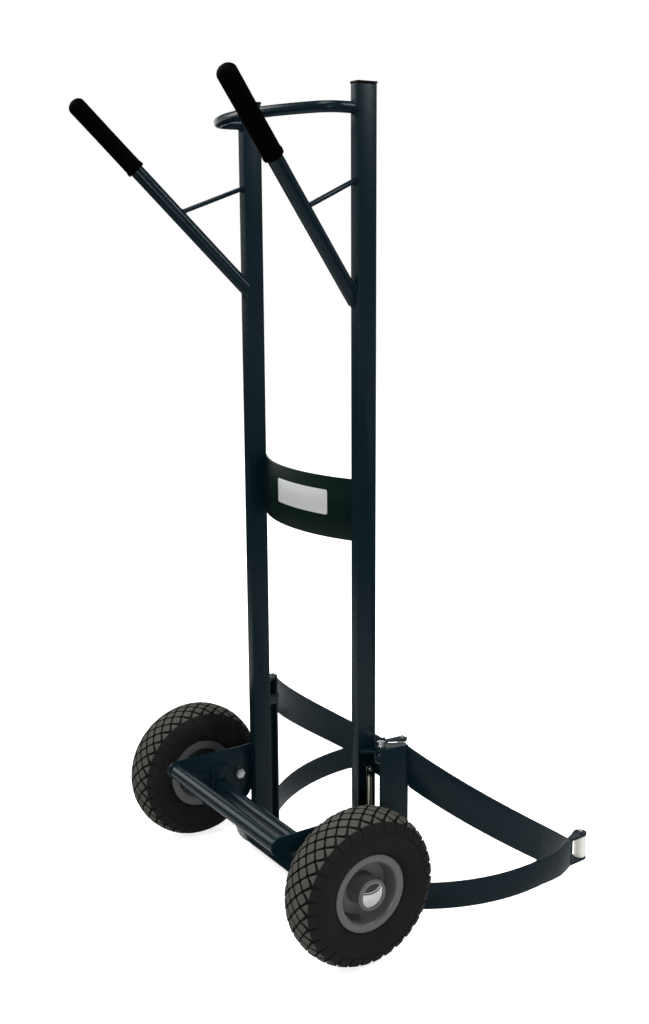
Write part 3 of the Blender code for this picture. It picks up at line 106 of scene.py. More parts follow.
def linear(code):
    """An sRGB hex colour as linear values."""
    values = [int(code[place : place + 2], 16) / 255 for place in (1, 3, 5)]
    return tuple(value / 12.92 if value <= 0.04045 else ((value + 0.055) / 1.055) ** 2.4 for value in values)


# ---------------------------------------------------------------- settings


def size(name, description, default, low=0.0001, high=1.0):
    return FloatProperty(
        name=name, description=description, default=default, min=low, max=high, unit="LENGTH", precision=5
    )


def colour(name, description, code):
    return FloatVectorProperty(
        name=name, description=description, subtype="COLOR", size=3, min=0, max=1, default=linear(code)
    )


class TyreSettings(bpy.types.PropertyGroup):
    """Tread of the puncture-proof tyres."""

    blocks: IntProperty(
        name="Blocks around", description="Tread blocks in one row around the tyre", default=32, min=8, max=80
    )
    groove_width: size("Groove width", "Width of the grooves between the blocks", 0.0028)
    groove_depth: size("Groove depth", "Depth of the grooves below the block tops", 0.0038)
    row_spacing: size("Row spacing", "Distance across the tread between two rows of blocks", 0.01125)
    shoulder_girth: size("Shoulder", "Distance along the surface from the crown to the tread's edge", 0.0362)
    lug_girth: size("Lug end", "Distance along the surface from the crown to the end of the side lugs", 0.0515)
    notch_width: size("Notch width", "Width of the notches between the side lugs, at their lower end", 0.0016)


class SteelSettings(bpy.types.PropertyGroup):
    """Edges, welds and wire of the steel parts."""

    sheet_edge: size("Sheet edge", "Radius left on the edges of cut sheet under its coating", 0.0005)
    fold_edge: size("Fold radius", "Outer radius of the folded arm post", 0.0024)
    weld_bead: size("Weld bead", "Radius of a weld bead", 0.0021)
    wire: size("Spring wire", "Radius of the spring's wire", 0.00095)
    coil: size("Spring coil", "Radius of the spring's coil to the middle of its wire", 0.0050)
    turns: IntProperty(name="Spring turns", description="Turns of each return spring", default=33, min=8, max=60)


class ColourSettings(bpy.types.PropertyGroup):
    """Colours of the finishes."""

    frame_paint: colour("Frame", "Powder coat of the frame and the arms", "#09191f")
    band_paint: colour("Band", "Powder coat of the mid band", "#031512")
    rubber: colour("Rubber", "Sides of the tyres", "#161617")
    tread: colour("Tread", "Scuffed tops of the tread blocks", "#464641")
    rim: colour("Rim", "Moulded wheel rims", "#4d4f51")
    label: colour("Label plate", "Bare plate on the mid band", "#c9cbcc")
    floor: colour("Floor", "Studio floor", "#e9e9e9")


class StageSettings(bpy.types.PropertyGroup):
    """Studio round the trolley."""

    floor_radius: size("Floor radius", "Radius of the studio floor", 14.0, 1.0, 60.0)
    world_light: FloatProperty(
        name="World light", description="Strength of the light from all round", default=0.32, min=0, max=4
    )
    key_light: FloatProperty(
        name="Key light", description="Power of the soft light above", default=75, min=0, max=2000, unit="POWER"
    )
    side_light: FloatProperty(
        name="Side light", description="Power of the strip light beside", default=40, min=0, max=2000, unit="POWER"
    )


class TrolleySettings(bpy.types.PropertyGroup):
    """All settings of the trolley."""

    tyre: PointerProperty(type=TyreSettings)
    steel: PointerProperty(type=SteelSettings)
    colours: PointerProperty(type=ColourSettings)
    stage: PointerProperty(type=StageSettings)


def settings():
    return bpy.context.scene.tyre_trolley


# ---------------------------------------------------------------- materials


def add(tree, kind, options=None, values=None, links=None):
    """Adds a node with its options, its input values and its links."""
    node = tree.nodes.new(kind)
    for name, value in (options or {}).items():
        setattr(node, name, value)
    for name, value in (values or {}).items():
        node.inputs[name].default_value = value
    for name, source in (links or {}).items():
        tree.links.new(source, node.inputs[name])
    return node


def surface(name, values):
    """An empty material with its shader, and the object's own coordinates."""
    found = bpy.data.materials.get(name)
    if found:
        return found, None, None, None
    material = bpy.data.materials.new(name)
    material.use_nodes = True
    tree = material.node_tree
    shader = tree.nodes["Principled BSDF"]
    for key, value in values.items():
        shader.inputs[key].default_value = value
    place = add(tree, "ShaderNodeTexCoord").outputs["Object"]
    return material, tree, shader, place


def rgba(value):
    return (*value, 1.0)


def shade(value, factor):
    return tuple(min(1.0, part * factor) for part in value)


def two_tone(tree, factor, first, second):
    """A colour between two by a factor."""
    mix = add(tree, "ShaderNodeMix", {"data_type": "RGBA"}, links={0: factor})
    mix.inputs[6].default_value = rgba(first)
    mix.inputs[7].default_value = rgba(second)
    return mix.outputs[2]


def powder_coat(name, colour_value, gloss):
    """Polyester powder coat on steel, sprayed and baked: a satin skin with a fine orange peel."""
    material, tree, shader, place = surface(name, {"IOR": 1.5, "Specular IOR Level": 0.12})
    if tree is None:
        return material
    # The coat's thickness drifts over about 60 mm, which shifts its tone a little.
    drift = add(tree, "ShaderNodeTexNoise", values={"Scale": 16, "Detail": 3}, links={"Vector": place})
    tone = two_tone(tree, drift.outputs["Fac"], shade(colour_value, 0.86), shade(colour_value, 1.16))
    tree.links.new(tone, shader.inputs["Base Color"])
    # Orange peel is about 2 mm from crest to crest.
    peel = add(tree, "ShaderNodeTexNoise", values={"Scale": 520, "Detail": 2}, links={"Vector": place})
    rough = add(
        tree,
        "ShaderNodeMapRange",
        values={"To Min": gloss - 0.05, "To Max": gloss + 0.07},
        links={"Value": peel.outputs["Fac"]},
    )
    tree.links.new(rough.outputs["Result"], shader.inputs["Roughness"])
    bump = add(
        tree,
        "ShaderNodeBump",
        values={"Strength": 0.10, "Distance": 0.0002},
        links={"Height": peel.outputs["Fac"]},
    )
    tree.links.new(bump.outputs["Normal"], shader.inputs["Normal"])
    return material


def frame_paint():
    return powder_coat("satin_powder_coat", settings().colours.frame_paint, 0.25)


def band_paint():
    return powder_coat("dark_powder_coat", settings().colours.band_paint, 0.30)


def plated(name, light, dark, roughness, scale, spread=0.08):
    """Plated or drawn metal: a clouded tone and a roughness that follows the clouds."""
    material, tree, shader, place = surface(name, {"Metallic": 1.0, "Roughness": roughness})
    if tree is None:
        return material
    cloud = add(tree, "ShaderNodeTexNoise", values={"Scale": scale, "Detail": 5}, links={"Vector": place})
    tone = two_tone(tree, cloud.outputs["Fac"], light, dark)
    tree.links.new(tone, shader.inputs["Base Color"])
    rough = add(
        tree,
        "ShaderNodeMapRange",
        values={"To Min": roughness - spread, "To Max": roughness + spread},
        links={"Value": cloud.outputs["Fac"]},
    )
    tree.links.new(rough.outputs["Result"], shader.inputs["Roughness"])
    grain = add(tree, "ShaderNodeTexNoise", values={"Scale": scale * 6, "Detail": 2}, links={"Vector": place})
    bump = add(
        tree,
        "ShaderNodeBump",
        values={"Strength": 0.12, "Distance": 0.0001},
        links={"Height": grain.outputs["Fac"]},
    )
    tree.links.new(bump.outputs["Normal"], shader.inputs["Normal"])
    return material


def zinc():
    """Bright zinc on cold-headed bolts and laser-cut feet: cool grey with a faint spangle."""
    return plated("bright_zinc_plate", linear("#c3c6c8"), linear("#a3a7aa"), 0.28, 300)


def yellow_zinc():
    """Yellow chromate over zinc on turned spacers: straw with pinkish and greenish clouds."""
    return plated("yellow_passivated_zinc", linear("#cdb668"), linear("#a9a05c"), 0.30, 180)


def chrome():
    """Chrome plate on a pressed cap: near mirror."""
    return plated("chrome_plate", linear("#cfcfcf"), linear("#c5c6c7"), 0.06, 120, 0.02)


def spring_steel():
    """Zinc-plated spring wire, coiled cold: pale, with die marks along the wire."""
    return plated("plated_spring_wire", linear("#cfcdbf"), linear("#b1af9f"), 0.30, 900)


def axle_steel():
    """Bright drawn bar: grey with fine marks."""
    return plated("drawn_axle_bar", linear("#9a9b9b"), linear("#85868a"), 0.34, 400)


def moulded(name, colour_value, roughness, grain, depth, more=None):
    """Injection-moulded plastic: an even colour with the mould's spark-eroded grain."""
    material, tree, shader, place = surface(name, {"IOR": 1.49, **(more or {})})
    if tree is None:
        return material
    cloud = add(tree, "ShaderNodeTexNoise", values={"Scale": 45, "Detail": 3}, links={"Vector": place})
    tone = two_tone(tree, cloud.outputs["Fac"], shade(colour_value, 0.93), shade(colour_value, 1.07))
    tree.links.new(tone, shader.inputs["Base Color"])
    spark = add(tree, "ShaderNodeTexNoise", values={"Scale": grain, "Detail": 3}, links={"Vector": place})
    rough = add(
        tree,
        "ShaderNodeMapRange",
        values={"To Min": roughness - 0.06, "To Max": roughness + 0.06},
        links={"Value": spark.outputs["Fac"]},
    )
    tree.links.new(rough.outputs["Result"], shader.inputs["Roughness"])
    bump = add(
        tree,
        "ShaderNodeBump",
        values={"Strength": depth, "Distance": 0.0002},
        links={"Height": spark.outputs["Fac"]},
    )
    tree.links.new(bump.outputs["Normal"], shader.inputs["Normal"])
    return material


def rim_plastic():
    """Grey polypropylene: satin, with a grain of about 0.7 mm."""
    return moulded("moulded_polypropylene", settings().colours.rim, 0.32, 1400, 0.15)


def bush_plastic():
    """Pale acetal bush: waxy and smooth."""
    return moulded("turned_acetal", linear("#6a6a64"), 0.35, 900, 0.08)


def cap_plastic():
    """Black low-density polyethylene plug: satin with a coarse grain."""
    return moulded("moulded_polyethylene_black", linear("#060708"), 0.48, 1200, 0.2, {"Specular IOR Level": 0.08})


def roller_nylon():
    """Natural nylon 6, turned: milky and faintly translucent."""
    return moulded(
        "natural_nylon", linear("#e2e1d6"), 0.38, 1000, 0.08, {"Subsurface Weight": 0.12, "Subsurface Scale": 0.002}
    )


def grip_foam():
    """Dipped vinyl grip: black, matt and finely pitted."""
    return moulded("dipped_vinyl_black", linear("#010101"), 0.62, 1600, 0.5, {"Specular IOR Level": 0.015})


def label_plate():
    """Anodised aluminium plate, brushed and left bare: pale with faint lines along it."""
    material, tree, shader, place = surface("bare_anodised_plate", {"Metallic": 0.35, "Roughness": 0.38})
    if tree is None:
        return material
    # Brushing runs along the plate, so the pattern is drawn out 40 times that way.
    stretch = add(tree, "ShaderNodeMapping", values={"Scale": (1, 1, 40)}, links={"Vector": place})
    lines = add(tree, "ShaderNodeTexNoise", values={"Scale": 60, "Detail": 4}, links={"Vector": stretch.outputs[0]})
    base = settings().colours.label
    tone = two_tone(tree, lines.outputs["Fac"], shade(base, 0.9), shade(base, 1.08))
    tree.links.new(tone, shader.inputs["Base Color"])
    bump = add(
        tree,
        "ShaderNodeBump",
        values={"Strength": 0.06, "Distance": 0.0001},
        links={"Height": lines.outputs["Fac"]},
    )
    tree.links.new(bump.outputs["Normal"], shader.inputs["Normal"])
    return material


def rubber(name, colour_value, roughness, mottle):
    """Vulcanised rubber: dull black with a dry bloom and the mould's fine grain."""
    material, tree, shader, place = surface(name, {"IOR": 1.52, "Specular IOR Level": 0.08})
    if tree is None:
        return material
    bloom = add(
        tree, "ShaderNodeTexNoise", values={"Scale": 70, "Detail": 6, "Roughness": 0.65}, links={"Vector": place}
    )
    tone = two_tone(
        tree, bloom.outputs["Fac"], shade(colour_value, 1 - mottle), shade(colour_value, 1 + mottle)
    )
    tree.links.new(tone, shader.inputs["Base Color"])
    grain = add(tree, "ShaderNodeTexNoise", values={"Scale": 1500, "Detail": 3}, links={"Vector": place})
    rough = add(
        tree,
        "ShaderNodeMapRange",
        values={"To Min": roughness - 0.08, "To Max": roughness + 0.08},
        links={"Value": bloom.outputs["Fac"]},
    )
    tree.links.new(rough.outputs["Result"], shader.inputs["Roughness"])
    bump = add(
        tree,
        "ShaderNodeBump",
        values={"Strength": 0.3, "Distance": 0.0002},
        links={"Height": grain.outputs["Fac"]},
    )
    tree.links.new(bump.outputs["Normal"], shader.inputs["Normal"])
    return material


def tyre_rubber():
    return rubber("moulded_tyre_rubber", settings().colours.rubber, 0.62, 0.12)


def tread_rubber():
    """The block tops, dry and greyed by the mould's release powder and by rolling."""
    return rubber("scuffed_tread_rubber", settings().colours.tread, 0.85, 0.28)


FINISHES = {
    "frame_paint": frame_paint,
    "band_paint": band_paint,
    "zinc": zinc,
    "yellow_zinc": yellow_zinc,
    "chrome": chrome,
    "spring_steel": spring_steel,
    "axle_steel": axle_steel,
    "tyre_rubber": tyre_rubber,
    "rim_plastic": rim_plastic,
    "bush_plastic": bush_plastic,
    "grip_foam": grip_foam,
    "cap_plastic": cap_plastic,
    "roller_nylon": roller_nylon,
}
NODE_FINISHES = {
    "band_paint": ("mid_band",),
    "zinc": (
        "plate_bolt",
        "hinge_foot",
        "hinge_bolt_upper",
        "hinge_nut",
        "hinge_bolt_lower",
        "spring_anchor",
        "tip_pin",
    ),
    "yellow_zinc": ("axle_spacer",),
    "chrome": ("axle_cap",),
    "spring_steel": ("spring",),
    "axle_steel": ("axle",),
    "tyre_rubber": ("tyre",),
    "rim_plastic": ("rim",),
    "bush_plastic": ("hub_bush",),
    "grip_foam": ("handle_grip",),
    "cap_plastic": ("upright_cap",),
    "roller_nylon": ("tip_roller",),
}


def finish_of(node):
    """The material slot of a CAD node."""
    plain = node.removesuffix("_left").removesuffix("_right")
    for finish, nodes in NODE_FINISHES.items():
        if plain in nodes:
            return finish
    return "frame_paint"


# ---------------------------------------------------------------- modelling


def deselect():
    if bpy.context.mode != "OBJECT":
        bpy.ops.object.mode_set(mode="OBJECT")
    bpy.ops.object.select_all(action="DESELECT")


def pick(piece):
    """Makes a piece the only one selected, and active."""
    deselect()
    piece.select_set(True)
    bpy.context.view_layer.objects.active = piece


def edit(piece):
    """Opens a piece in edit mode with nothing selected."""
    pick(piece)
    bpy.ops.object.mode_set(mode="EDIT")
    bpy.ops.mesh.select_mode(type="VERT")
    bpy.ops.mesh.select_all(action="DESELECT")


def select(piece, kind, test):
    """Selects the verts, edges or faces of the open piece that pass a test, and no others."""
    bpy.ops.mesh.select_mode(type={"verts": "VERT", "edges": "EDGE", "faces": "FACE"}[kind])
    bpy.ops.mesh.select_all(action="DESELECT")
    shape = bmesh.from_edit_mesh(piece.data)
    for part in getattr(shape, kind):
        if test(part):
            part.select_set(True)
    bmesh.update_edit_mesh(piece.data)


def modify(piece, kind, **options):
    """Adds a modifier and applies it."""
    pick(piece)
    modifier = piece.modifiers.new(kind.lower(), kind)
    for name, value in options.items():
        setattr(modifier, name, value)
    bpy.ops.object.modifier_apply(modifier=modifier.name)


def settle(piece, angle=35):
    """Puts a piece's place into its mesh and smooths it up to an angle."""
    pick(piece)
    bpy.ops.object.transform_apply(location=True, rotation=True, scale=True)
    bpy.ops.object.shade_smooth_by_angle(angle=math.radians(angle))


def hand_over(piece, body, finish, *nodes, material=None):
    """Gives a finished piece its material, its slot, its body and the CAD nodes it stands for."""
    if not piece.data.materials:
        piece.data.materials.append(material or FINISHES[finish]())
    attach(piece, body)
    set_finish(piece, finish)
    if nodes:
        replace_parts(piece, *nodes)
    return piece


def joined(name, pieces):
    """Joins pieces into one."""
    deselect()
    for piece in pieces:
        piece.select_set(True)
    bpy.context.view_layer.objects.active = pieces[0]
    if len(pieces) > 1:
        bpy.ops.object.join()
    pieces[0].name = name
    return pieces[0]


def mirrored(piece, name):
    """A copy of a right-hand piece for the left-hand side, with its own mesh."""
    pick(piece)
    bpy.ops.object.duplicate(linked=False)
    copy = bpy.context.active_object
    copy.name = name
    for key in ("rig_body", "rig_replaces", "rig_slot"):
        if key in copy:
            del copy[key]
    copy.parent = None
    copy.matrix_world = Matrix.Identity(4)
    edit(copy)
    bpy.ops.mesh.select_all(action="SELECT")
    bpy.ops.transform.resize(value=(-1, 1, 1), center_override=(0, 0, 0))
    bpy.ops.mesh.flip_normals()
    bpy.ops.object.mode_set(mode="OBJECT")
    return copy


def drawn_line(name, points):
    """A line drawn point by point, the start of a turned shape."""
    deselect()
    bpy.ops.mesh.primitive_plane_add(size=0.01, location=points[0])
    line = bpy.context.active_object
    line.name = name
    bpy.ops.object.transform_apply(location=True)
    bpy.ops.object.mode_set(mode="EDIT")
    bpy.ops.mesh.select_all(action="SELECT")
    bpy.ops.mesh.merge(type="CENTER")
    for start, end in zip(points, points[1:]):
        bpy.ops.mesh.extrude_region_move(TRANSFORM_OT_translate={"value": Vector(end) - Vector(start)})
    return line


def turned(name, profile, centre, axis, steps, closed=False):
    """A profile of (radius, distance along the axis) drawn and spun round an axis."""
    axis = Vector(axis).normalized()
    across = axis.orthogonal().normalized()
    points = [centre + axis * along + across * radius for radius, along in profile]
    piece = drawn_line(name, points)
    if closed:
        ends = {0, len(points) - 1}
        select(piece, "verts", lambda vert: vert.index in ends)
        bpy.ops.mesh.edge_face_add()
    bpy.ops.mesh.select_all(action="SELECT")
    bpy.ops.mesh.spin(steps=steps, angle=math.tau, center=centre, axis=axis)
    bpy.ops.mesh.select_all(action="SELECT")
    bpy.ops.mesh.remove_doubles(threshold=0.000002)
    bpy.ops.mesh.normals_make_consistent(inside=False)
    bpy.ops.object.mode_set(mode="OBJECT")
    return piece


def rounded(points, radius, steps=3):
    """A profile with its inner corners rounded: by one radius, or by a corner's own, given as its third value."""
    result = [points[0][:2]]
    for before, corner, after in zip(points, points[1:], points[2:]):
        own = corner[2] if len(corner) > 2 else radius
        before, corner, after = Vector(before[:2]), Vector(corner[:2]), Vector(after[:2])
        reach = min(own, (corner - before).length * 0.45, (after - corner).length * 0.45)
        first = corner + (before - corner).normalized() * reach
        last = corner + (after - corner).normalized() * reach
        for step in range(steps + 1):
            share = step / steps
            point = first.lerp(corner, share).lerp(corner.lerp(last, share), share)
            result.append(tuple(point))
    result.append(points[-1][:2])
    return result


def smooth_line(points, steps=6):
    """A flowing line through all points (Catmull-Rom)."""
    spots = [Vector(point) for point in points]
    spots = [spots[0] * 2 - spots[1], *spots, spots[-1] * 2 - spots[-2]]
    line = []
    for number in range(1, len(spots) - 2):
        a, b, c, d = spots[number - 1 : number + 3]
        for step in range(steps):
            t = step / steps
            line.append((2 * b + (c - a) * t + (2 * a - 5 * b + 4 * c - d) * t**2 + (3 * b - a - 3 * c + d) * t**3) / 2)
    line.append(spots[-2])
    return line


def rod(name, radius, start, end, sides=40, wall=0.0, edge=0.0006):
    """A round bar or tube between two points, its ends hollowed if it has a wall, its rims rounded."""
    start, end = Vector(start), Vector(end)
    way = (end - start).normalized()
    deselect()
    bpy.ops.mesh.primitive_cylinder_add(
        vertices=sides,
        radius=radius,
        depth=(end - start).length,
        location=(start + end) / 2,
        rotation=way.to_track_quat("Z", "Y").to_euler(),
    )
    piece = bpy.context.active_object
    piece.name = name
    bpy.ops.object.transform_apply(location=True, rotation=True)
    edit(piece)
    select(piece, "faces", lambda face: abs(face.normal.dot(way)) > 0.9)
    if wall:
        bpy.ops.mesh.inset(thickness=wall, use_individual=True)
        bpy.ops.mesh.extrude_region_shrink_fatten(TRANSFORM_OT_shrink_fatten={"value": -4 * wall})
    else:
        bpy.ops.mesh.bevel(offset=edge, segments=2, affect="EDGES")
    bpy.ops.object.mode_set(mode="OBJECT")
    return piece


def bead(name, points, radius, ripple=0.16, pitch=2.6):
    """A weld bead along a line: a run of overlapping ripples, half sunk in its corner.

    A ripple is about 2.6 bead radii long, as hand MIG welding leaves it.
    """
    length = 0.0
    spots = [Vector(points[0])]
    spacing = radius * pitch / 4
    for start, end in zip(points, points[1:]):
        start, end = Vector(start), Vector(end)
        count = max(1, round((end - start).length / spacing))
        spots += [start.lerp(end, step / count) for step in range(1, count + 1)]
    curve = bpy.data.curves.new(name, "CURVE")
    curve.dimensions = "3D"
    curve.bevel_depth = radius
    curve.bevel_resolution = 2
    curve.use_fill_caps = True
    spline = curve.splines.new("POLY")
    spline.points.add(len(spots) - 1)
    for number, (point, spot) in enumerate(zip(spline.points, spots)):
        point.co = (*spot, 1)
        length = number / 4
        swell = 1 + ripple * math.cos(math.tau * length) + 0.10 * math.sin(length * 1.7 + spot.x * 900)
        ends = min(1.0, (min(number, len(spots) - 1 - number) + 1) / 3)
        point.radius = swell * ends
    piece = bpy.data.objects.new(name, curve)
    bpy.context.scene.collection.objects.link(piece)
    pick(piece)
    bpy.ops.object.convert(target="MESH")
    piece = bpy.context.active_object
    settle(piece, 60)
    return piece


def ring_points(centre, first, second, start=0, end=360, steps=48):
    """Points of an arc of an ellipse, by its two half axes."""
    points = []
    for step in range(steps + 1):
        angle = math.radians(start + (end - start) * step / steps)
        points.append(Vector(centre) + Vector(first) * math.cos(angle) + Vector(second) * math.sin(angle))
    return points


def rounded_copy(node, edge, angle=30, segments=2, body="frame", finish=None):
    """A CAD node's own shape with its edges rounded, as cutting, folding and coating leave them."""
    piece = bpy.data.objects.new(f"{node}.finished", frame["nodes"][node].data.copy())
    bpy.context.scene.collection.objects.link(piece)
    piece.data.materials.clear()
    edit(piece)
    bpy.ops.mesh.select_all(action="SELECT")
    bpy.ops.mesh.remove_doubles(threshold=0.00001)
    bpy.ops.mesh.dissolve_limited(angle_limit=math.radians(0.6))
    bpy.ops.object.mode_set(mode="OBJECT")
    bpy.ops.mesh.customdata_custom_splitnormals_clear()
    if edge:
        modify(
            piece,
            "BEVEL",
            width=edge,
            segments=segments,
            limit_method="ANGLE",
            angle_limit=math.radians(angle),
            miter_outer="MITER_ARC",
        )
    settle(piece, angle)
    return hand_over(piece, body, finish or finish_of(node), node)


# ---------------------------------------------------------------- operators


class TROLLEY_OT_finish_nodes(bpy.types.Operator):
    """Give every CAD node the material of its real finish."""

    bl_idname = "trolley.finish_nodes"
    bl_label = "Finish CAD nodes"

    def execute(self, context):
        for name, node in frame["nodes"].items():
            node.data.materials.clear()
            node.data.materials.append(FINISHES[finish_of(name)]())
        return {"FINISHED"}


class TROLLEY_OT_steel_sheet(bpy.types.Operator):
    """Round the edges of the cut and folded steel: uprights, band, plates, feet, stops, posts, straps and brackets."""

    bl_idname = "trolley.steel_sheet"
    bl_label = "Cut and folded steel"

    def execute(self, context):
        edge = settings().steel.sheet_edge
        rounded_copy("mid_band", edge)
        rounded_copy("bottom_brace", 2 * edge)
        for name, side in SIDES:
            rounded_copy(f"upright_{name}", 3 * edge, segments=3)
            rounded_copy(f"upright_cap_{name}", 0)
            for node in ("side_plate", "axle_keeper", "hinge_foot", "hinge_ear", "swing_stop"):
                rounded_copy(f"{node}_{name}", edge)
            body = f"arm_{name}"
            rounded_copy(f"arm_post_{name}", settings().steel.fold_edge, segments=3, body=body)
            for node in ("arm_upper_strap", "arm_lower_strap", "tip_bracket"):
                rounded_copy(f"{node}_{name}", edge, body=body)
        return {"FINISHED"}


class TROLLEY_OT_tubes(bpy.types.Operator):
    """Model the bent top bow, the push handles with their stays, the foot bar and the axle tube."""

    bl_idname = "trolley.tubes"
    bl_label = "Tubes"

    def execute(self, context):
        self.bow()
        # The axle tube is drawn a little lower and stouter than its CAD node, as stout as the foot bar: partly as
        # measured, partly as painted shade, so that its dark paint closes the gap to the foot bar, where there is only
        # shade.
        for node, wall, swell_over_shaded_gap, drop_over_shaded_gap in (("foot_bar", 0.002, 0, 0), ("axle_tube", 0.0021, 0.0016, 0.0014)):
            low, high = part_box(node)
            centre = (low + high) / 2 - Vector((0, 0, drop_over_shaded_gap))
            radius = (high.z - low.z) / 2 + swell_over_shaded_gap
            tube = rod(node + ".tube", radius, (low.x, centre.y, centre.z), (high.x, centre.y, centre.z), 48, wall)
            settle(tube)
            hand_over(tube, "frame", "frame_paint", node)
        for name, side in SIDES:
            self.handle(name, side)
        return {"FINISHED"}

    def bow(self):
        """A tube drawn straight, bent round a corner, along the back and round the other corner."""
        low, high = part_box("top_bow")
        radius = (high.z - low.z) / 2
        level = (high.z + low.z) / 2
        corner_radius, back_radius = 0.035, 0.374
        rear = low.y + radius
        centre_y = rear + back_radius
        corner_x = UPRIGHT_MID - corner_radius
        corner_y = centre_y - math.sqrt((back_radius - corner_radius) ** 2 - corner_x**2)
        turn = math.pi / 2 - math.asin(corner_x / (back_radius - corner_radius))
        deselect()
        bpy.ops.mesh.primitive_circle_add(
            vertices=32,
            radius=radius,
            fill_type="NOTHING",
            location=(UPRIGHT_MID, high.y, level),
            rotation=(math.pi / 2, 0, 0),
        )
        tube = bpy.context.active_object
        tube.name = "top_bow.tube"
        bpy.ops.object.transform_apply(location=True, rotation=True)
        bpy.ops.object.mode_set(mode="EDIT")
        bpy.ops.mesh.select_all(action="SELECT")
        straight = (0, corner_y - high.y, 0)
        bpy.ops.mesh.extrude_region_move(TRANSFORM_OT_translate={"value": straight})
        bends = (
            ((corner_x, corner_y, level), turn, 10),
            ((0, centre_y, level), math.pi - 2 * turn, 40),
            ((-corner_x, corner_y, level), turn, 10),
        )
        for centre, angle, steps in bends:
            bpy.ops.mesh.spin(steps=steps, angle=angle, center=centre, axis=(0, 0, 1))
        bpy.ops.mesh.extrude_region_move(TRANSFORM_OT_translate={"value": (0, high.y - corner_y, 0)})
        bpy.ops.mesh.select_all(action="SELECT")
        bpy.ops.mesh.remove_doubles(threshold=0.000005)
        select(tube, "edges", lambda edge: edge.is_boundary)
        bpy.ops.mesh.edge_face_add()
        bpy.ops.mesh.select_all(action="SELECT")
        bpy.ops.mesh.normals_make_consistent(inside=False)
        settle(tube)
        hand_over(tube, "frame", "frame_paint", "top_bow")

    def handle(self, name, side):
        """The slanted tube, cut flat against its upright, and the thin stay above it."""
        base, way = handle_line(side)
        tube = rod(f"handle_tube_{name}.tube", HANDLE_RADIUS, base - way * 0.04, base + way * 0.4131, 48, 0.002)
        edit(tube)
        bpy.ops.mesh.select_all(action="SELECT")
        bpy.ops.mesh.bisect(
            plane_co=(0, UPRIGHT_REAR_Y - CLEARANCE, 0), plane_no=(0, 1, 0), use_fill=True, clear_outer=True
        )
        settle(tube)
        hand_over(tube, "frame", "frame_paint", f"handle_tube_{name}")

        start = Vector((side * UPRIGHT_MID, UPRIGHT_REAR_Y - CLEARANCE, 1.229))
        end = base + way * 0.17445
        along = (end - start).normalized()
        stay = rod(f"handle_stay_{name}.rod", 0.004, start - along * 0.01, end - along * (HANDLE_RADIUS - 0.001), 24)
        edit(stay)
        bpy.ops.mesh.select_all(action="SELECT")
        bpy.ops.mesh.bisect(
            plane_co=(0, UPRIGHT_REAR_Y - CLEARANCE, 0), plane_no=(0, 1, 0), use_fill=True, clear_outer=True
        )
        settle(stay)
        hand_over(stay, "frame", "frame_paint", f"handle_stay_{name}")


HANDLE_RADIUS = 0.0121
HANDLE_BASE_Z = 1.0582
HANDLE_SPLAY = math.radians(19.3)
HANDLE_RISE = math.radians(47.2)


def handle_line(side):
    """Where a handle's axis meets its upright, and the axis's direction."""
    base = Vector((side * (UPRIGHT_MID - 0.0086), UPRIGHT_REAR_Y, HANDLE_BASE_Z))
    flat = math.cos(HANDLE_RISE)
    way = Vector((side * flat * math.sin(HANDLE_SPLAY), -flat * math.cos(HANDLE_SPLAY), math.sin(HANDLE_RISE)))
    return base, way


class TROLLEY_OT_grips(bpy.types.Operator):
    """Model the dipped vinyl grips with their rolled lips and domed ends."""

    bl_idname = "trolley.grips"
    bl_label = "Handle grips"

    def execute(self, context):
        start, radius, lip = 0.272, 0.0152, 0.0162
        end = 0.4235
        for name, side in SIDES:
            base, way = handle_line(side)
            bore = HANDLE_RADIUS + CLEARANCE
            shoulder = end - 0.012
            profile = [(bore, start + 0.004), (bore, start), (lip, start), (lip, start + 0.005), (radius, start + 0.009)]
            profile = rounded(profile, 0.0012)
            profile += [(radius - 0.0002, (start + shoulder) / 2)]
            for step in range(0, 9):
                angle = math.pi / 2 * step / 9
                profile.append((radius * math.cos(angle), shoulder + 0.012 * math.sin(angle)))
            profile.append((0.0, end))
            grip = turned(f"handle_grip_{name}.grip", profile, base, way, 48)
            settle(grip, 50)
            hand_over(grip, "frame", "grip_foam", f"handle_grip_{name}")
        return {"FINISHED"}


def tyre_line():
    """Half of the tyre's outer line from the crown to the rim, with a crease at the tread's edge."""
    rise = WHEEL_RADIUS - 0.065
    shares = ((1.00, 0.00), (0.96, 0.44), (0.85, 0.78)), ((0.85, 0.78), (0.66, 0.95), (0.42, 1.00), (0.20, 0.94), (0.04, 0.80))
    line = []
    for part in shares:
        points = [(TYRE_HALF_WIDTH * out, 0.065 + rise * up) for up, out in part]
        smooth = smooth_line(points, 8)
        line += smooth if not line else smooth[1:]
    return [Vector((min(point.x, TYRE_HALF_WIDTH), min(point.y, WHEEL_RADIUS))) for point in line]


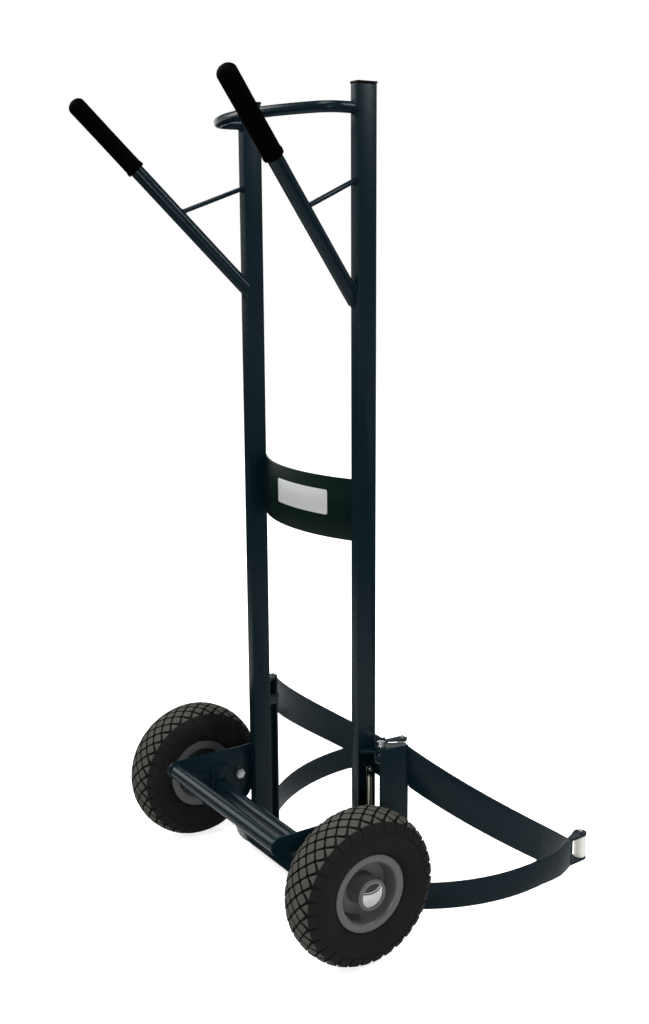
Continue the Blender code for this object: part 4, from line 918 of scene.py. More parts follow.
class TROLLEY_OT_tyres(bpy.types.Operator):
    """Model the tyres: a carcass with its grooves' floor, rows of diamond blocks and lugs down the sides."""

    bl_idname = "trolley.tyres"
    bl_label = "Treaded tyres"

    def execute(self, context):
        self.prepare()
        carcass = self.carcass()
        strip = self.strip()
        self.roll_round(strip)
        tyre = joined("tyre_right.treaded", [carcass, strip])
        settle(tyre, 40)
        hand_over(tyre, "wheel_right", "tyre_rubber", "tyre_right")
        other = mirrored(tyre, "tyre_left.treaded")
        hand_over(other, "wheel_left", "tyre_rubber", "tyre_left")
        return {"FINISHED"}

    def prepare(self):
        """Measures the outer line, so that a point can be found by its girth from the crown."""
        self.line = tyre_line()
        self.girth = [0.0]
        for start, end in zip(self.line, self.line[1:]):
            self.girth.append(self.girth[-1] + (end - start).length)
        self.pitch = math.tau * WHEEL_RADIUS / settings().tyre.blocks

    def spot(self, girth, lift):
        """The place (out from the middle, radius) at a girth from the crown, lifted off the outer line."""
        way = 1 if girth >= 0 else -1
        girth = min(abs(girth), self.girth[-1] - 1e-6)
        number = next(index for index, value in enumerate(self.girth) if value > girth) - 1
        share = (girth - self.girth[number]) / (self.girth[number + 1] - self.girth[number])
        start, end = self.line[number], self.line[number + 1]
        along = (end - start).normalized()
        point = start.lerp(end, share) + Vector((-along.y, along.x)) * lift
        return Vector((way * point.x, point.y))

    def carcass(self):
        """The tyre's body: the floor under the tread, the plain lower sides with a moulded line, and the beads."""
        tyre = settings().tyre
        deep = -tyre.groove_depth
        outer = []
        for girth, lift in (
            (0.0, deep),
            (0.006, deep),
            (0.012, deep),
            (0.018, deep),
            (0.024, deep),
            (0.030, deep),
            (0.0345, deep),
            (0.0375, deep * 0.9),
            (0.041, deep * 0.62),
            (0.046, deep * 0.42),
            (tyre.lug_girth + 0.0012, -0.0011),
            (tyre.lug_girth + 0.0024, -0.0004),
            (tyre.lug_girth + 0.0033, 0.0000),
            (tyre.lug_girth + 0.0042, -0.0006),
            (tyre.lug_girth + 0.009, -0.0004),
            (0.070, -0.0001),
            (0.076, 0.0),
            (0.080, -0.0001),
            (0.0845, -0.0004),
            (0.0880, -0.0008),
        ):
            outer.append(self.spot(girth, lift))
        # The bead tucks in behind the rim's lip.
        outer += [Vector((0.0312, 0.0662)), Vector((0.0280, 0.0655)), Vector((0.0260, 0.0600)), Vector((0.0200, 0.0553))]
        half = [(point.y, point.x) for point in outer]
        inner = [(0.0553, 0.0150), (0.095, 0.030), (0.115, 0.022), (0.118, 0.0)]
        right = half[::-1] + []
        profile = [(radius, -along) for radius, along in inner[:-1]][::-1]
        profile = (
            [(radius, along) for radius, along in inner[::-1]]
            + right
            + [(radius, -along) for radius, along in half[1:]]
            + [(radius, -along) for radius, along in inner[:-1]]
        )
        centre = Vector((WHEEL_X, AXLE.y, AXLE.z))
        body = turned("tyre_carcass", profile, centre, (1, 0, 0), 128, closed=True)
        body.data.materials.append(tyre_rubber())
        body.data.materials.append(tread_rubber())
        return body

    def diamond(self):
        """One block of the tread, flat: u runs round the tyre, v across it and w out of it."""
        tyre = settings().tyre
        cut = tyre.groove_width / 2 * math.sqrt(2)
        half_u = self.pitch / 2 - cut
        half_v = tyre.row_spacing - cut
        deselect()
        bpy.ops.mesh.primitive_circle_add(vertices=4, radius=1, fill_type="NGON", location=(0, 0, 0))
        block = bpy.context.active_object
        bpy.ops.object.mode_set(mode="EDIT")
        bpy.ops.mesh.select_all(action="SELECT")
        bpy.ops.transform.resize(value=(half_u * 1.05, half_v * 1.05, 1), center_override=(0, 0, 0))
        bpy.ops.transform.translate(value=(0, 0, -tyre.groove_depth * 1.12))
        bpy.ops.mesh.extrude_region_move(TRANSFORM_OT_translate={"value": (0, 0, tyre.groove_depth * 0.97)})
        bpy.ops.transform.resize(value=(0.95, 0.95, 1), center_override=(0, 0, 0))
        bpy.ops.mesh.extrude_region_move(TRANSFORM_OT_translate={"value": (0, 0, tyre.groove_depth * 0.15)})
        bpy.ops.transform.resize(value=(0.94, 0.94, 1), center_override=(0, 0, 0))
        select(block, "edges", lambda part: abs(part.verts[0].co.z - part.verts[1].co.z) > 1e-6)
        bpy.ops.mesh.bevel(offset=0.0019, segments=3, affect="EDGES")
        bpy.ops.object.mode_set(mode="OBJECT")
        return self.cut_across(block)

    def cut_across(self, block):
        """Cuts a flat block every few millimetres, so that it can follow the tyre's curve."""
        edit(block)
        for axis, places in ((0, (-0.0055, 0.0, 0.0055)), (1, (-0.0105, -0.0055, 0.0, 0.0055, 0.0105))):
            normal = (1, 0, 0) if axis == 0 else (0, 1, 0)
            for place in places:
                bpy.ops.mesh.select_all(action="SELECT")
                point = (place, 0, 0) if axis == 0 else (0, place, 0)
                bpy.ops.mesh.bisect(plane_co=point, plane_no=normal)
        bpy.ops.object.mode_set(mode="OBJECT")
        return block

    def side_lug(self):
        """The block at the tread's edge: a point between two diamonds, then straight down the tyre's side."""
        tyre = settings().tyre
        cut = tyre.groove_width / 2 * math.sqrt(2)
        half = self.pitch / 2
        tip = 2 * tyre.row_spacing + cut
        wide = 3 * tyre.row_spacing
        notch = tyre.notch_width / 2
        outline = [
            (0, tip, 0),
            (half - cut - 0.0026, wide, 0),
            (half - 0.0042, wide + 0.0025, 0),
            (half - notch, tyre.lug_girth - 0.001, 0),
            (half - notch - 0.002, tyre.lug_girth + 0.0015, 0),
            (-half + notch + 0.002, tyre.lug_girth + 0.0015, 0),
            (-half + notch, tyre.lug_girth - 0.001, 0),
            (-half + 0.0042, wide + 0.0025, 0),
            (-half + cut + 0.0026, wide, 0),
        ]
        lug = drawn_line("side_lug", outline)
        ends = {0, len(outline) - 1}
        select(lug, "verts", lambda vert: vert.index in ends)
        bpy.ops.mesh.edge_face_add()
        bpy.ops.mesh.select_all(action="SELECT")
        bpy.ops.mesh.edge_face_add()
        bpy.ops.mesh.select_all(action="SELECT")
        bpy.ops.mesh.normals_make_consistent(inside=False)
        middle_v = (tip + tyre.lug_girth) / 2
        bpy.ops.transform.translate(value=(0, 0, -tyre.groove_depth * 1.05))
        bpy.ops.mesh.extrude_region_move(TRANSFORM_OT_translate={"value": (0, 0, tyre.groove_depth * 0.90)})
        bpy.ops.mesh.extrude_region_move(TRANSFORM_OT_translate={"value": (0, 0, tyre.groove_depth * 0.15)})
        bpy.ops.transform.resize(value=(0.95, 0.965, 1), center_override=(0, middle_v, 0))
        for place in (0.0275, 0.0315, tyre.shoulder_girth - 0.0008, tyre.shoulder_girth + 0.0008, 0.0415, 0.0465):
            bpy.ops.mesh.select_all(action="SELECT")
            bpy.ops.mesh.bisect(plane_co=(0, place, 0), plane_no=(0, 1, 0))
        for place in (-0.0065, 0.0, 0.0065):
            bpy.ops.mesh.select_all(action="SELECT")
            bpy.ops.mesh.bisect(plane_co=(place, 0, 0), plane_no=(1, 0, 0))
        bpy.ops.mesh.select_all(action="SELECT")
        bpy.ops.mesh.normals_make_consistent(inside=False)
        bpy.ops.object.mode_set(mode="OBJECT")
        return lug

    def strip(self):
        """The flat tread: one pitch laid out from copies of the block and the lug, then repeated."""
        tyre = settings().tyre
        block = self.diamond()
        pieces = [block]
        for row in (-2, -1, 1, 2):
            pick(block)
            bpy.ops.object.duplicate(linked=False)
            copy = bpy.context.active_object
            copy.location = (self.pitch / 2 if row % 2 else 0, row * tyre.row_spacing, 0)
            pieces.append(copy)
        lug = self.side_lug()
        lug.location = (self.pitch / 2, 0, 0)
        pick(lug)
        bpy.ops.object.duplicate(linked=False)
        other = bpy.context.active_object
        other.scale = (1, -1, 1)
        for piece in [*pieces, lug, other]:
            pick(piece)
            bpy.ops.object.transform_apply(location=True, rotation=True, scale=True)
        edit(other)
        bpy.ops.mesh.select_all(action="SELECT")
        bpy.ops.mesh.normals_make_consistent(inside=False)
        strip = joined("tyre_strip", [*pieces, lug, other])
        modify(strip, "BEVEL", width=0.00035, segments=1, limit_method="ANGLE", angle_limit=math.radians(50))
        modify(
            strip,
            "ARRAY",
            count=tyre.blocks,
            use_relative_offset=False,
            use_constant_offset=True,
            constant_offset_displace=(self.pitch, 0, 0),
        )
        strip.data.materials.append(tyre_rubber())
        strip.data.materials.append(tread_rubber())
        edge = tyre.shoulder_girth
        for face in strip.data.polygons:
            top = face.normal.z > 0.8 and face.center.z > -0.0008
            face.material_index = 1 if top and abs(face.center.y) < edge else 0
        return strip

    def roll_round(self, strip):
        """Wraps the flat strip round the wheel, each point at its girth and its lift."""
        for vert in strip.data.vertices:
            angle = vert.co.x / WHEEL_RADIUS
            place = self.spot(vert.co.y, vert.co.z)
            vert.co = (
                WHEEL_X + place.x,
                AXLE.y + place.y * math.cos(angle),
                AXLE.z + place.y * math.sin(angle),
            )
        edit(strip)
        bpy.ops.mesh.select_all(action="SELECT")
        bpy.ops.mesh.normals_make_consistent(inside=False)
        bpy.ops.object.mode_set(mode="OBJECT")


class TROLLEY_OT_rims(bpy.types.Operator):
    """Model the moulded rims: lips, deep dish, hub barrel and four ribs, with their bushes."""

    bl_idname = "trolley.rims"
    bl_label = "Moulded rims"

    def execute(self, context):
        centre = Vector((WHEEL_X, AXLE.y, AXLE.z))
        section = [
            (0.0650, 0.0280),
            (0.0650, 0.0316, 0.0010),
            (0.0522, 0.0316, 0.0050),
            (0.0500, 0.0240, 0.0030),
            (0.0468, 0.0010, 0.0014),
            (0.0252, 0.0002, 0.0030),
            (0.0248, 0.0320),
            (0.0262, 0.0336),
            (0.0262, 0.0366, 0.0010),
            (0.0229, 0.0367, 0.0003),
            (0.0229, 0.0359, 0.0002),
            (0.0119, 0.0359, 0.0002),
            (0.0119, -0.0356, 0.0004),
            (0.0225, -0.0356),
            (0.0245, -0.0030, 0.0020),
            (0.0466, -0.0030, 0.0030),
            (0.0490, -0.0276),
            (0.0505, -0.0316),
            (0.0650, -0.0316),
            (0.0650, -0.0280),
            (0.0552, -0.0270),
            (0.0550, 0.0270),
        ]
        profile = rounded(section, 0.0012)
        rim = turned("rim_body", profile, centre, (1, 0, 0), 96, closed=True)
        ribs = [self.rib(centre, number) for number in range(RIB_COUNT)]
        rim = joined("rim_right.moulded", [rim, *ribs])
        settle(rim, 35)
        hand_over(rim, "wheel_right", "rim_plastic", "rim_right")
        other = mirrored(rim, "rim_left.moulded")
        hand_over(other, "wheel_left", "rim_plastic", "rim_left")
        bush = [
            (0.0094, -0.0356),
            (0.0117, -0.0356),
            (0.0117, 0.0364, 0.0001),
            (0.0222, 0.0364, 0.0002),
            (0.0222, 0.0371, 0.0004),
            (0.0094, 0.0371),
        ]
        flanged = turned("hub_bush_right.flanged", rounded(bush, 0.0003), centre, (1, 0, 0), 64, closed=True)
        settle(flanged, 40)
        hand_over(flanged, "wheel_right", "bush_plastic", "hub_bush_right")
        other = mirrored(flanged, "hub_bush_left.flanged")
        hand_over(other, "wheel_left", "bush_plastic", "hub_bush_left")
        return {"FINISHED"}

    def rib(self, centre, number):
        """A web behind the disc, from the hub to the well, drafted and with a hollowed edge."""
        deselect()
        bpy.ops.mesh.primitive_cube_add(size=1, location=(-0.0095, 0, 0.0352))
        rib = bpy.context.active_object
        bpy.ops.object.mode_set(mode="EDIT")
        bpy.ops.mesh.select_all(action="SELECT")
        bpy.ops.transform.resize(value=(0.0158, 0.0040, 0.0268), center_override=(-0.0095, 0, 0.0352))
        bpy.ops.mesh.subdivide(number_cuts=3)
        shape = bmesh.from_edit_mesh(rib.data)
        for vert in shape.verts:
            out = vert.co.z / 0.0134
            dip = 1 - 0.22 * (1 - min(1, abs(out)) ** 2)
            vert.co.x = (vert.co.x - 0.0095) * dip + 0.0095
            vert.co.y *= 1 - 0.25 * abs(vert.co.x - 0.0095) / 0.0174
        bmesh.update_edit_mesh(rib.data)
        bpy.ops.object.mode_set(mode="OBJECT")
        modify(rib, "BEVEL", width=0.0005, segments=2, limit_method="ANGLE", angle_limit=math.radians(50))
        turn = Matrix.Rotation(math.tau * (number + 0.5) / RIB_COUNT, 4, "X")
        rib.matrix_world = Matrix.Translation(centre) @ turn @ rib.matrix_world
        settle(rib)
        return rib


class TROLLEY_OT_axle_ends(bpy.types.Operator):
    """Model the domed chrome caps and round the yellow spacers."""

    bl_idname = "trolley.axle_ends"
    bl_label = "Axle ends"

    def execute(self, context):
        centre = Vector((0, AXLE.y, AXLE.z))
        low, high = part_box("axle_cap_right")
        radius = (high.z - low.z) / 2
        skirt = low.x
        radius += 0.0012
        dome = 0.034
        profile = [(0.0095, skirt + 0.0012), (0.0095, skirt), (radius, skirt), (radius, skirt + 0.0012)]
        for step in range(16):
            out = (radius - 0.0008) * (1 - step / 15)
            profile.append((out, high.x - dome + math.sqrt(dome**2 - out**2)))
        cap = turned("axle_cap_right.dome", profile, centre, (1, 0, 0), 64)
        settle(cap, 50)
        hand_over(cap, "frame", "chrome", "axle_cap_right")
        other = mirrored(cap, "axle_cap_left.dome")
        hand_over(other, "frame", "chrome", "axle_cap_left")
        for node in ("axle_spacer_left", "axle_spacer_right"):
            rounded_copy(node, 0.0003)
        return {"FINISHED"}


class TROLLEY_OT_springs(bpy.types.Operator):
    """Model the close-wound return springs with their hooks."""

    bl_idname = "trolley.springs"
    bl_label = "Return springs"

    def execute(self, context):
        steel = settings().steel
        low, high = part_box("spring_right")
        axis_x = (low.x + high.x) / 2
        axis_y = (low.y + high.y) / 2
        wire, coil = steel.wire, steel.coil
        rise = 0.014
        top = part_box("spring_anchor_right")[0].z + 0.0045 - rise
        foot = top - 0.0688
        for name, side in SIDES:
            points = self.wire_line(coil, wire, foot, top, rise, steel.turns)
            curve = bpy.data.curves.new(f"spring_{name}.wound", "CURVE")
            curve.dimensions = "3D"
            curve.bevel_depth = wire
            curve.bevel_resolution = 3
            curve.use_fill_caps = True
            spline = curve.splines.new("POLY")
            spline.points.add(len(points) - 1)
            for spot, point in zip(spline.points, points):
                spot.co = (side * (axis_x + point.x), axis_y + point.y, point.z, 1)
            spring = bpy.data.objects.new(curve.name, curve)
            bpy.context.scene.collection.objects.link(spring)
            pick(spring)
            bpy.ops.object.convert(target="MESH")
            spring = bpy.context.active_object
            settle(spring, 60)
            hand_over(spring, "frame", "spring_steel", f"spring_{name}")
        return {"FINISHED"}

    def wire_line(self, coil, wire, foot, top, rise, turns):
        """The wire's middle line: lower hook, close coil and upper hook, round the spring's own axis."""
        around = 18
        upper = self.hook(coil, wire, top, 1, rise)
        lower = [Vector((point.x, -point.y, point.z)) for point in self.hook(coil, wire, foot, -1, rise)]
        points = lower[::-1]
        for step in range(turns * around + 1):
            angle = math.pi + math.tau * step / around
            share = step / (turns * around)
            points.append(Vector((coil * math.cos(angle), coil * math.sin(angle), foot + (top - foot) * share)))
        return points + upper

    def hook(self, coil, wire, level, way, rise):
        """A quarter turn that rises off the coil, then an open eye."""
        points = []
        lift = 2 * coil * math.pi / 8
        for step in range(1, 7):
            part = math.pi / 2 * step / 6
            angle = -math.pi / 2 * (2 - math.sin(part))
            height = level + way * lift * (1 - math.cos(part))
            points.append(Vector((coil * math.cos(angle), coil * math.sin(angle), height)))
        eye = level + way * (rise - 0.0012)
        for step in range(25):
            angle = math.pi - math.radians(255) * step / 24
            points.append(Vector((0, 0.0051 * math.cos(angle), eye + way * 0.0051 * math.sin(angle))))
        return points


class TROLLEY_OT_fasteners(bpy.types.Operator):
    """Round the bolts, nuts, pins and studs, and model the pivot rollers."""

    bl_idname = "trolley.fasteners"
    bl_label = "Bolts, pins and rollers"

    def execute(self, context):
        for name, side in SIDES:
            for node in ("plate_bolt", "hinge_bolt_upper", "hinge_nut", "hinge_bolt_lower"):
                rounded_copy(f"{node}_{name}", 0.0006, segments=3)
            self.anchor(name, side)
            rounded_copy(f"tip_pin_{name}", 0.0004, body=f"arm_{name}")
            self.roller(name, side)
        return {"FINISHED"}

    def anchor(self, name, side):
        """A headed stud: the spring's upper eye hangs on its shank, behind the domed head."""
        node = f"spring_anchor_{name}"
        low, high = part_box(node)
        inner, outer = sorted((abs(low.x), abs(high.x)))
        centre = Vector((0, (low.y + high.y) / 2, (low.z + high.z) / 2))
        shank, head = 0.0025, (high.z - low.z) / 2
        neck, dome = outer - 0.0040, 0.0024
        profile = [(0.0, inner), (shank, inner), (shank, neck), (head, neck)]
        for step in range(0, 8):
            angle = math.pi / 2 * step / 8
            profile.append((head * math.cos(angle), outer - dome + dome * math.sin(angle)))
        profile.append((0.0, outer))
        stud = turned(f"{node}.stud", profile, centre, Vector((side, 0, 0)), 32)
        settle(stud, 50)
        hand_over(stud, "frame", finish_of(node), node)

    def roller(self, name, side):
        """A turned nylon roller with a faint waist."""
        node = f"tip_roller_{name}"
        low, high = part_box(node)
        centre = Vector(((low.x + high.x) / 2, (low.y + high.y) / 2, 0))
        radius = (high.x - low.x) / 2
        middle_z = (low.z + high.z) / 2
        profile = [
            (0.0046, low.z),
            (radius, low.z),
            (radius, middle_z - 0.004),
            (radius - 0.0003, middle_z),
            (radius, middle_z + 0.004),
            (radius, high.z),
            (0.0046, high.z),
        ]
        roller = turned(f"{node}.turned", rounded(profile, 0.0012), centre, (0, 0, 1), 48, closed=True)
        settle(roller, 50)
        hand_over(roller, f"roller_{name}", "roller_nylon", node)


class TROLLEY_OT_welds(bpy.types.Operator):
    """Run the weld beads round the tubes' roots and along the plates' and straps' seams."""

    bl_idname = "trolley.welds"
    bl_label = "Weld beads"

    def execute(self, context):
        size_ = settings().steel.weld_bead
        welds = {"frame": [], "arm_left": [], "arm_right": []}
        for name, side in SIDES:
            self.frame_welds(welds["frame"], side, size_)
            self.arm_welds(welds[f"arm_{name}"], name, side, size_)
        for body, beads in welds.items():
            piece = joined(f"welds_{body}", beads)
            hand_over(piece, body, "frame_paint")
        return {"FINISHED"}

    def frame_welds(self, beads, side, size_):
        wall = UPRIGHT_REAR_Y - CLEARANCE
        # The handle's root is an oval on the upright's rear face, and its weld stops at the upright's edges.
        base, way = handle_line(side)
        long_way = Vector((way.x, 0, way.z)).normalized()
        short_way = Vector((long_way.z, 0, -long_way.x))
        slant = HANDLE_RADIUS / abs(way.y)
        reach = 0.0012
        oval = ring_points(
            (base.x, wall - 0.0004, base.z), long_way * (slant + reach), short_way * (HANDLE_RADIUS + reach), 0, 360, 120
        )
        run = []
        for point in oval + oval:
            inside = UPRIGHT_IN + 0.0008 < side * point.x < UPRIGHT_OUT - 0.0008
            if inside:
                run.append(point)
            elif len(run) > 12:
                break
            else:
                run = []
        for start, end in ((0, 120), (120, 240)):
            part = [point for point in (oval + oval)[start:end]]
            pieces, run = [], []
            for point in part:
                if UPRIGHT_IN + 0.0008 < side * point.x < UPRIGHT_OUT - 0.0008:
                    run.append(point)
                else:
                    if len(run) > 6:
                        pieces.append(run)
                    run = []
            if start == 120 and len(run) > 6:
                pieces.append(run)
            if start == 120:
                for piece in pieces:
                    beads.append(bead("weld_handle", piece, size_))
        # Bow and stay meet the upright square or nearly so.
        bow_z = middle("top_bow").z
        bow_radius = (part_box("top_bow")[1].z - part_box("top_bow")[0].z) / 2
        spot = (side * UPRIGHT_MID, wall - 0.0005, bow_z)
        beads.append(
            bead("weld_bow", ring_points(spot, (0, 0, bow_radius + 0.0008), (bow_radius + 0.0002, 0, 0), -20, 340), size_)
        )
        spot = (side * UPRIGHT_MID, wall - 0.0004, 1.229)
        beads.append(bead("weld_stay", ring_points(spot, (0, 0, 0.0056), (0.0046, 0, 0), 0, 350, 24), size_ * 0.75))
        # The stay's other end lies on the handle.
        foot = base + way * 0.17445
        top = Vector((side * UPRIGHT_MID, UPRIGHT_REAR_Y, 1.229))
        out = (top - foot).normalized()
        across = way.cross(out).normalized()
        spot = foot + out * (HANDLE_RADIUS * 1.02)
        beads.append(bead("weld_stay_foot", ring_points(spot, way * 0.0056, across * 0.0045, 0, 350, 24), size_ * 0.7))
        # The band's ends.
        low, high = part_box("mid_band")
        rear = self.band_rear_y(UPRIGHT_IN)
        for shift in (0.0, -0.0006):
            points = [(side * (UPRIGHT_IN - 0.0006), rear + shift, low.z + 0.004), (side * (UPRIGHT_IN - 0.0006), rear + shift, high.z - 0.004)]
            if shift == 0.0:
                beads.append(bead("weld_band", points, size_ * 0.8))
        # Foot bar and axle tube meet the side plates.
        # The axle tube's ring follows its swell and drop, which partly stand in for the shade in the gap to the foot
        # bar.
        for node, swell_over_shaded_gap, drop_over_shaded_gap in (("foot_bar", 0, 0), ("axle_tube", 0.0016, 0.0014)):
            low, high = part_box(node)
            radius = (high.z - low.z) / 2 + swell_over_shaded_gap
            spot = (side * (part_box("side_plate_right")[0].x - 0.0008), (low.y + high.y) / 2, (low.z + high.z) / 2 - drop_over_shaded_gap)
            beads.append(
                bead("weld_bar", ring_points(spot, (0, 0, radius + 0.0006), (0, radius + 0.0006, 0), 0, 355), size_ * 0.85)
            )
        # The side plate's front edge runs down the upright's outer face.
        low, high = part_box("side_plate_right")
        points = [(side * (low.x + 0.0006), high.y + 0.0003, low.z + 0.030), (side * (low.x + 0.0006), high.y + 0.0003, high.z - 0.003)]
        beads.append(bead("weld_side_plate", points, size_ * 0.85))

    def band_rear_y(self, reach):
        """Where the band's rear face stands at a distance from the middle."""
        low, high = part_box("mid_band")
        radius = 0.334
        return low.y + radius - math.sqrt(radius**2 - reach**2)

    def arm_welds(self, beads, name, side, size_):
        post_low, post_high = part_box(f"arm_post_{name}")
        for node, drop in (("arm_upper_strap", 0.0), ("arm_lower_strap", 0.0)):
            low, high = self.strap_end(f"{node}_{name}", post_high.y)
            out = max(abs(post_low.x), abs(post_high.x))
            points = [(side * (out - 0.0003), post_high.y + 0.0002, low + 0.003), (side * (out - 0.0003), post_high.y + 0.0002, high - 0.003)]
            beads.append(bead("weld_strap", points, size_ * 0.8))
        # The upper strap's long seam on the lower one.
        seam = self.strap_seam(name)
        if len(seam) > 3:
            beads.append(bead("weld_seam", seam, size_ * 0.8))
        # The sharp corner where they part is filled through the straps' thickness.
        beads.append(bead("weld_notch", self.strap_notch(name, side), size_ * 1.2))

    def outer_line(self, node, pick_z):
        """Distance forward and height along one edge of a strap's outer face."""
        line = {}
        for vert in frame["nodes"][node].data.vertices:
            if math.hypot(vert.co.x, vert.co.y - STRAP_CENTRE_Y) > STRAP_INNER_RADIUS + 0.004:
                key = round(vert.co.y, 4)
                line[key] = pick_z(line.get(key, vert.co.z), vert.co.z)
        return sorted(line.items())

    def strap_notch(self, name, side):
        """A short line through the corner in which the upper strap's lower edge meets the lower strap's top."""
        under = self.outer_line(f"arm_upper_strap_{name}", min)
        over = self.outer_line(f"arm_lower_strap_{name}", max)

        def height(line, y):
            for (start, low), (end, high) in zip(line, line[1:]):
                if start <= y <= end:
                    return low + (high - low) * (y - start) / max(end - start, 1e-6)
            return None

        y = under[0][0] + 0.02
        while y < under[-1][0]:
            gap = (height(under, y) or 9) - (height(over, y) or 0)
            if gap < 0.0012:
                break
            y += 0.0005
        z = height(over, y) + 0.0006
        points = []
        for radius in (STRAP_INNER_RADIUS - 0.0005, STRAP_INNER_RADIUS + 0.0055):
            points.append((side * math.sqrt(radius**2 - (y - STRAP_CENTRE_Y) ** 2), y, z))
        return points

    def strap_end(self, node, front):
        """The lowest and highest point of a strap where it starts at the post."""
        heights = [vert.co.z for vert in frame["nodes"][node].data.vertices if abs(vert.co.y - front) < 0.004]
        return min(heights), max(heights)

    def strap_seam(self, name):
        """The line where the two straps touch, on their outer face."""
        upper = frame["nodes"][f"arm_upper_strap_{name}"].data.vertices
        centre_y = middle(f"arm_post_{name}").y
        low_line = {}
        for vert in upper:
            radius = math.hypot(vert.co.x, vert.co.y - STRAP_CENTRE_Y)
            if radius > STRAP_INNER_RADIUS + 0.004 and vert.co.y > centre_y:
                key = round(vert.co.y, 4)
                low_line[key] = min(low_line.get(key, (9, None)), (vert.co.z, tuple(vert.co)))
        points = [Vector(low_line[key][1]) for key in sorted(low_line)]
        points = [point for point in points if point.y > SEAM_START_Y]
        return points


STRAP_CENTRE_Y = 0.354 - 0.15047
STRAP_INNER_RADIUS = 0.3000
SEAM_START_Y = 0.30


class TROLLEY_OT_label_plate(bpy.types.Operator):
    """Model the bare plate on the mid band, bent to the band's curve."""

    bl_idname = "trolley.label_plate"
    bl_label = "Bare label plate"

    def execute(self, context):
        band_low, band_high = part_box("mid_band")
        radius = 0.334
        centre_y = band_low.y + radius
        left, right, low, high, thick = -0.0540, 0.0900, 0.6950, 0.7370, 0.0005
        width, height = right - left, high - low
        deselect()
        bpy.ops.mesh.primitive_plane_add(size=1, location=((left + right) / 2, 0, (low + high) / 2), rotation=(math.pi / 2, 0, 0))
        plate = bpy.context.active_object
        plate.name = "label_plate"
        plate.scale = (width, height, 1)
        bpy.ops.object.transform_apply(location=True, rotation=True, scale=True)
        edit(plate)
        bpy.ops.mesh.select_all(action="SELECT")
        bpy.ops.mesh.bevel(offset=0.004, segments=5, affect="VERTICES")
        for number in range(1, 32):
            bpy.ops.mesh.select_all(action="SELECT")
            bpy.ops.mesh.bisect(plane_co=(left + width * number / 32, 0, 0), plane_no=(1, 0, 0))
        bpy.ops.mesh.select_all(action="SELECT")
        bpy.ops.mesh.extrude_region_move(TRANSFORM_OT_translate={"value": (0, -thick, 0)})
        bpy.ops.mesh.select_all(action="SELECT")
        bpy.ops.mesh.normals_make_consistent(inside=False)
        bpy.ops.object.mode_set(mode="OBJECT")
        modify(plate, "BEVEL", width=0.00015, segments=2, limit_method="ANGLE", angle_limit=math.radians(50))
        for vert in plate.data.vertices:
            angle = vert.co.x / radius
            out = radius + 0.0002 - vert.co.y
            vert.co = (out * math.sin(angle), centre_y - out * math.cos(angle), vert.co.z)
        settle(plate, 30)
        hand_over(plate, "frame", "band_paint", material=label_plate())
        return {"FINISHED"}


